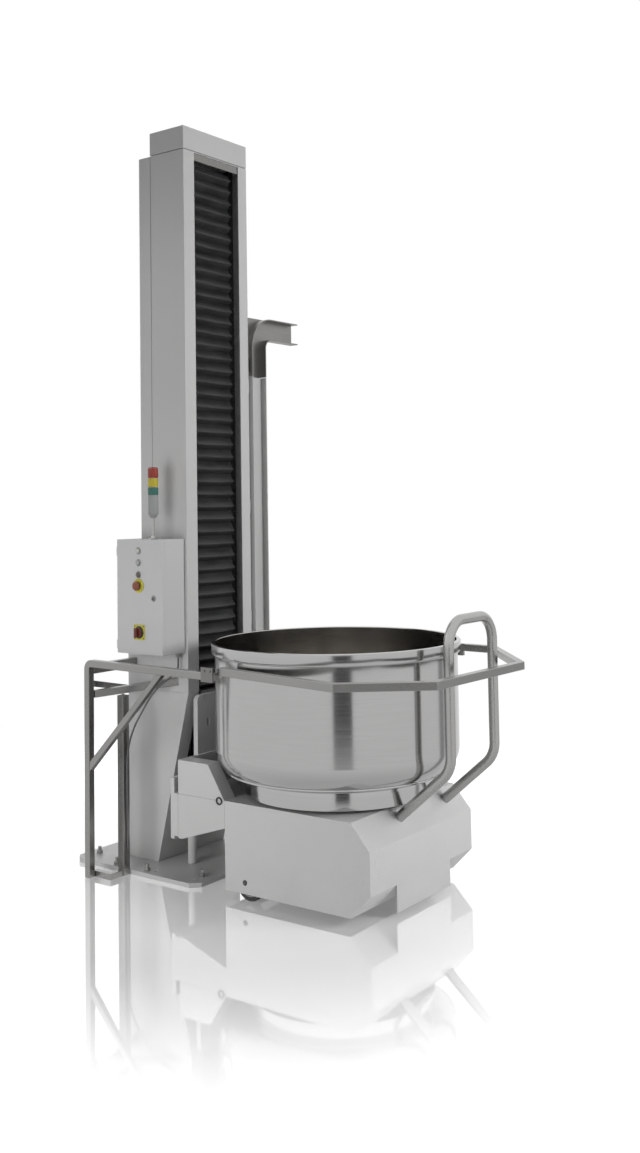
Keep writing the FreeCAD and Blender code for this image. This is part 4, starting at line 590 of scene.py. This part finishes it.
def makeStop(v):
    disc = faced([(0.0085, 0.0002), (v["disc"], 0.0002), (v["disc"], 0.0022), (v["disc"] - 0.002, 0.0034),
                  (0.0195, 0.0034), (0.0185, v["discOut"]), (0.0085, v["discOut"])], v["stopRow"],
                 v["stopHeight"], steps=72)
    meshPiece("stopDisc", disc, "door", "signal_yellow")
    head = v["head"]
    outline = [(0, 0.0095), (0.008, 0.0095), (0.0082, 0.0105), (head - 0.003, 0.0108), (head, 0.013),
               (head, 0.0175), (head - 0.0015, 0.0205), (head - 0.006, 0.0232), (0.008, 0.0241), (0, 0.0242)]
    button = faced(outline, v["stopRow"], v["stopHeight"], steps=72, ease=0.0008)
    grips = [faced([(0, 0.0239), (0.0016, 0.0239), (0.0016, 0.0243), (0, 0.0243)],
                   v["stopRow"] + 0.011 * math.cos(a), v["stopHeight"] + 0.011 * math.sin(a), 16, 0)
             for a in (0.5, 2.6, 4.7)]
    stem = faced([(0, 0.0045), (0.0078, 0.0045), (0.0078, 0.0098), (0, 0.0098)], v["stopRow"], v["stopHeight"])
    piece = meshPiece("stopHead", gathered([button, stem] + grips), "stop_button", "stop_red")
    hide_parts("estop_button")


def makeSwitch(v):
    half = v["plate"] / 2
    y, z, face = v["switchRow"], v["switchHeight"], v["face"]
    plate = block((face - v["plateOut"], y - half, z - half), (face - 0.0002, y + half, z + half), 0.0012, 3)
    r = v["hub"]
    hub = faced([(0, 0.0029), (r, 0.0029), (r, 0.0045), (r - 0.002, 0.0068), (0, 0.0068)], y, z)
    corners = [faced([(0, 0.0029), (0.0032, 0.0029), (0.0032, 0.0036), (0.0022, 0.0042), (0, 0.0042)],
                     y + a, z + b, 24, 0.0002) for a in (-0.025, 0.025) for b in (-0.025, 0.025)]
    meshPiece("switchPlate", plate, "door", "signal_yellow")
    meshPiece("switchHub", gathered([hub] + corners), "door", "black_plastic")
    knob = v["knob"]
    disc = faced([(0, 0.0076), (knob, 0.0076), (knob, 0.011), (knob - 0.0025, 0.0136), (0, 0.0136)], y, z,
                 ease=0.0006)
    grip = block((face - 0.0310, y - 0.006, z - knob), (face - 0.0125, y + 0.006, z + knob), 0.0028, 3)
    piece = meshPiece("switchKnob", gathered([disc, grip]), "switch_knob", "switch_red")
    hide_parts("main_switch_knob")


def makeLock(v):
    y, z, face = v["lockRow"], v["lockHeight"], v["face"]
    barrel = faced([(0, 0.0006), (0.0098, 0.0006), (0.0098, 0.004), (0.0084, 0.0052), (0.0052, 0.0052),
                    (0.0048, 0.0034), (0, 0.0034)], y, z)
    bit = block((face - 0.0110, y - 0.0022, z - 0.0062), (face - 0.0030, y + 0.0022, z + 0.0062), 0.0008)
    piece = meshPiece("lockBarrel", gathered([barrel, bit]), "lock", "zinc")
    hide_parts("door_lock")


makeButtons(panelValues)
makeStop(panelValues)
makeSwitch(panelValues)
makeLock(panelValues)
print("panel made")

# wheels: rounded tyres on dished hubs
wheelValues = {
    "tyre": 0.0625, "side": 0.016, "hub": 0.045, "axle": 0.0108,
    "places": (("left", -0.336), ("right", 0.336)), "row": -0.631,
    "castor": 0.05, "castorPlace": (0, -1.002), "castorHub": 0.036, "castorAxle": 0.0056,
    "gap": 0.0002,
}


def wheelPiece(name, body, node, centre, radius, half, hub, axle):
    tyre = lathe([(hub, -half), (radius - 0.006, -half), (radius - 0.0015, -half + 0.004),
                  (radius, -half + 0.009), (radius, half - 0.009), (radius - 0.0015, half - 0.004),
                  (radius - 0.006, half), (hub, half)],
                 centre, axis=(1, 0, 0), steps=80)
    core = lathe([(axle, -half + 0.001), (axle + 0.007, -half + 0.001), (axle + 0.009, -half + 0.006),
                  (hub - 0.007, -half + 0.006), (hub - 0.004, -half + 0.0015), (hub + 0.0005, -half + 0.0015),
                  (hub + 0.0005, half - 0.0015), (hub - 0.004, half - 0.0015), (hub - 0.007, half - 0.006),
                  (axle + 0.009, half - 0.006), (axle + 0.007, half - 0.001), (axle, half - 0.001)],
                 centre, axis=(1, 0, 0), steps=80, ease=0.0006)
    piece = meshPiece(name + "Tyre", tyre, body, "wheel_rubber")
    meshPiece(name + "Hub", core, body, "grey_plastic")
    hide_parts(node)


def makeWheels(v):
    half = v["side"] - v["gap"]
    for side, x in v["places"]:
        wheelPiece(side + "Wheel", side + "_wheel", "wheel_" + side, (x, v["row"], v["tyre"]), v["tyre"],
                   half, v["hub"], v["axle"])
    wheelPiece("castorWheel", "castor_roller", "castor_wheel", (*v["castorPlace"], v["castor"]), v["castor"],
               half, v["castorHub"], v["castorAxle"])


makeWheels(wheelValues)
print("wheels made")

# small parts that the solids leave out
trimValues = {"screwFace": -0.37, "screwRow": -0.626, "screwHeight": 0.076}


def boltHead(centre, axis, size=0.008, height=0.004):
    washer = lathe([(0, 0.0002), (size * 1.35, 0.0002), (size * 1.35, 0.0012), (0, 0.0012)], centre, axis, 32)
    head = lathe([(0, 0.001), (size, 0.001), (size, height - 0.0006), (size * 0.86, height), (0, height)],
                 centre, axis, 6)
    return gathered([washer, head])


def makeTrim(v):
    side = boltHead((v["screwFace"], v["screwRow"], v["screwHeight"]), (-1, 0, 0))
    meshPiece("trolleyScrew", side, "tipper", "machined", smoothAngle=25)


makeTrim(trimValues)
print("trim made")

# the CAD nodes that keep their form: (bevel in metres, segments)
eased = {
    "base_plate": (0.0015, 2), "levelling_screws": (0.0008, 1), "pedestal_shell": (0.0025, 3),
    "column_shell": (0.0015, 2), "top_cap": (0.002, 3), "rear_cover": (0.001, 2), "lintel_strip": (0.0006, 1),
    "control_box": (0.0012, 2), "box_door": (0.0014, 2), "carriage_plate": (0.002, 2),
    "carriage_frame": (0.0012, 2), "tipping_plate": (0.0025, 2), "tipping_beam": (0.002, 2),
    "tipping_arm_left": (0.0025, 3), "tipping_arm_right": (0.0025, 3), "guide_channel": (0.0012, 2),
    "guide_curve": (0.0014, 2, "curve_steel"), "guard_rail_left": (0.0028, 3), "guard_rail_right": (0.0028, 3),
    "guard_ties": (0.0018, 2), "guard_post_mid": (0.0022, 2), "guard_gate": (0.0025, 3),
    "gate_switch": (0.0015, 2), "gate_hinge": (0.0008, 2), "buffer_posts": (0.0015, 2),
    "trolley_housing": (0.0018, 3), "trolley_chassis": (0.0012, 1), "castor_fork": (0.0008, 1),
    "roller_lever": (0.002, 2), "follower_roller": (0.0015, 2), "pivot_housing": (0.0012, 2),
    "pivot_shaft": (0.0012, 2), "cable_gland": (0.0008, 1),
}
replaced = {
    "bellows", "bowl", "bowl_skirt", "lamp_green", "lamp_amber", "lamp_red", "stack_pole", "panel_bezels",
    "button_white", "button_clear", "button_red", "estop_button", "main_switch_knob", "door_lock",
    "wheel_left", "wheel_right", "castor_wheel",
}

for node in sorted(set(frame["nodes"]) - replaced):
    dressed(node, *eased.get(node, (0.0,)))
print("nodes dressed")

# stage: pale polished floor whose gloss dies away and that turns plain white further out
stageValues = {
    "floorSize": 60.0, "floorColour": (0.88, 0.88, 0.88), "whiteFrom": 2.0, "whiteTo": 4.0,
    "glow": 0.55, "mirror": 0.66, "mirrorRoughness": 0.035, "mirrorFrom": 0.9, "mirrorTo": 2.3,
    "middle": (-0.1, -0.45, 0),
}


def floorFinish(v):
    material, tree, shader = newTree("studioFloor")
    shader.inputs["Base Color"].default_value = rgba(v["floorColour"])
    shader.inputs["Roughness"].default_value = 0.8
    shader.inputs["Specular IOR Level"].default_value = 0.0
    path = addNode(tree, "ShaderNodeLightPath").outputs
    spot = addNode(tree, "ShaderNodeTexCoord").outputs["Object"]
    away = addNode(tree, "ShaderNodeVectorMath", {0: spot, 1: v["middle"]},
                   operation="DISTANCE").outputs["Value"]
    plain = addNode(tree, "ShaderNodeMapRange",
                    {"Value": away, "From Min": v["whiteFrom"], "From Max": v["whiteTo"]},
                    interpolation_type="SMOOTHSTEP").outputs[0]
    gloss = addNode(tree, "ShaderNodeMapRange",
                    {"Value": away, "From Min": v["mirrorFrom"], "From Max": v["mirrorTo"], "To Min": v["mirror"],
                     "To Max": 0.0}, interpolation_type="SMOOTHSTEP").outputs[0]
    glow = addNode(tree, "ShaderNodeMath", {0: path["Is Camera Ray"], 1: v["glow"]}, operation="MULTIPLY")
    shader.inputs["Emission Color"].default_value = (1, 1, 1, 1)
    tree.links.new(glow.outputs[0], shader.inputs["Emission Strength"])
    mirror = addNode(tree, "ShaderNodeBsdfGlossy", {"Color": (1, 1, 1, 1), "Roughness": v["mirrorRoughness"]})
    polished = addNode(tree, "ShaderNodeMixShader", {0: gloss, 1: shader.outputs[0], 2: mirror.outputs[0]})
    white = addNode(tree, "ShaderNodeEmission", {"Color": (1, 1, 1, 1), "Strength": 1.0})
    share = addNode(tree, "ShaderNodeMath", {0: plain, 1: path["Is Camera Ray"]}, operation="MULTIPLY")
    mix = addNode(tree, "ShaderNodeMixShader",
                  {0: share.outputs[0], 1: polished.outputs[0], 2: white.outputs[0]})
    tree.links.new(mix.outputs[0], tree.nodes["Material Output"].inputs["Surface"])
    return material


def makeStage(v):
    mesh = bmesh.new()
    bmesh.ops.create_grid(mesh, x_segments=1, y_segments=1, size=v["floorSize"] / 2)
    data = bpy.data.meshes.new("studioFloor")
    mesh.to_mesh(data)
    mesh.free()
    floor = bpy.data.objects.new("studioFloor", data)
    scene.collection.objects.link(floor)
    floor.visible_glossy = False
    data.materials.append(floorFinish(v))


makeStage(stageValues)

# surroundings: white to the camera; polished steel sees a pale room with two dark screens low down
# screens: heading and half width in degrees, depth of the dark, and whether it reaches the ground
# lamps: name, position, target, size in metres, power in watts, spread in degrees
lightValues = {
    "worldStrength": 0.17, "worldColour": (0.97, 0.98, 1.0),
    "skyGlow": 1.0, "horizonGlow": 0.84, "groundGlow": 0.62, "screenTop": 0.06, "screenLow": (-0.224, -0.206),
    "screens": ((-139.0, 8.6, 0.9, False), (-31.0, 4.0, 0.6, True)), "screenEdge": 0.7,
    "lamps": [
        ("keyLamp", (-3.3, -0.2, 1.0), (-0.2, -0.1, 0.5), 1.8, 22, 110),
        ("frontLamp", (1.0, -4.5, 2.2), (0, -0.4, 0.9), 1.6, 138, 180),
        ("topLamp", (-0.4, -0.8, 6.2), (-0.4, -0.7, 0.0), 3.0, 22, 95),
        ("rearLamp", (-2.5, 2.0, 3.2), (-0.2, -0.1, 2.0), 0.8, 0.6, 60),
        ("backLamp", (3.6, 3.8, 2.6), (0, 0, 0.9), 4.0, 190, 180),
    ],
}


def surroundings(tree, v):
    # brightness by direction, for mirrored rays only
    direction = addNode(tree, "ShaderNodeTexCoord").outputs["Generated"]
    x, y, z = addNode(tree, "ShaderNodeSeparateXYZ", {0: direction}).outputs
    up = addNode(tree, "ShaderNodeMapRange", {"Value": z, "From Min": 0.0, "From Max": 0.25,
                                              "To Min": v["horizonGlow"], "To Max": v["skyGlow"]}).outputs[0]
    down = addNode(tree, "ShaderNodeMapRange", {"Value": z, "From Min": -0.9, "From Max": -0.1,
                                                "To Min": v["groundGlow"] - v["horizonGlow"],
                                                "To Max": 0.0}).outputs[0]
    level = addNode(tree, "ShaderNodeMath", {0: up, 1: down}).outputs[0]
    below = addNode(tree, "ShaderNodeMapRange", {"Value": z, "From Min": 0.0, "From Max": v["screenTop"],
                                                 "To Min": 1.0, "To Max": 0.0}).outputs[0]
    foot = addNode(tree, "ShaderNodeMapRange", {"Value": z, "From Min": v["screenLow"][0],
                                                "From Max": v["screenLow"][1]}).outputs[0]
    heading = addNode(tree, "ShaderNodeMath", {0: y, 1: x}, operation="ARCTAN2").outputs[0]
    for middle, half, depth, full in v["screens"]:
        offset = addNode(tree, "ShaderNodeMath", {0: heading, 1: math.radians(middle)}, operation="SUBTRACT")
        apart = addNode(tree, "ShaderNodeMath", {0: offset.outputs[0]}, operation="ABSOLUTE").outputs[0]
        near, far = math.radians(half - v["screenEdge"]), math.radians(half + v["screenEdge"])
        band = addNode(tree, "ShaderNodeMapRange", {"Value": apart, "From Min": near, "From Max": far,
                                                    "To Min": depth, "To Max": 0.0}).outputs[0]
        dark = addNode(tree, "ShaderNodeMath", {0: band, 1: below}, operation="MULTIPLY").outputs[0]
        if not full:
            dark = addNode(tree, "ShaderNodeMath", {0: dark, 1: foot}, operation="MULTIPLY").outputs[0]
        left = addNode(tree, "ShaderNodeMath", {0: 1.0, 1: dark}, operation="SUBTRACT").outputs[0]
        level = addNode(tree, "ShaderNodeMath", {0: level, 1: left}, operation="MULTIPLY").outputs[0]
    return level


def makeLights(v):
    world = bpy.data.worlds.new("studio")
    world.use_nodes = True
    tree = world.node_tree
    base = tree.nodes["Background"]
    base.inputs["Color"].default_value = rgba(v["worldColour"])
    base.inputs["Strength"].default_value = v["worldStrength"]
    white = addNode(tree, "ShaderNodeBackground", {"Color": (1, 1, 1, 1), "Strength": 1.0})
    mirror = addNode(tree, "ShaderNodeBackground", {"Color": (1, 1, 1, 1), "Strength": surroundings(tree, v)})
    path = addNode(tree, "ShaderNodeLightPath").outputs
    bright = addNode(tree, "ShaderNodeMixShader", {0: path["Is Glossy Ray"], 1: base.outputs[0],
                                                   2: mirror.outputs[0]})
    clear = addNode(tree, "ShaderNodeMath", {0: path["Is Camera Ray"], 1: path["Is Transmission Ray"]},
                    operation="MAXIMUM")
    mix = addNode(tree, "ShaderNodeMixShader", {0: clear.outputs[0], 1: bright.outputs[0], 2: white.outputs[0]})
    tree.links.new(mix.outputs[0], tree.nodes["World Output"].inputs["Surface"])
    scene.world = world
    for name, position, target, size, power, spread in v["lamps"]:
        data = bpy.data.lights.new(name, "AREA")
        data.size = size
        data.energy = power
        data.spread = math.radians(spread)
        lamp = bpy.data.objects.new(name, data)
        lamp.location = position
        lamp.rotation_euler = (Vector(target) - Vector(position)).to_track_quat("-Z", "Y").to_euler()
        lamp.visible_camera = False
        lamp.visible_glossy = name == "rearLamp"
        scene.collection.objects.link(lamp)


makeLights(lightValues)
scene.view_settings.view_transform = "Standard"
print("stage and lights set")
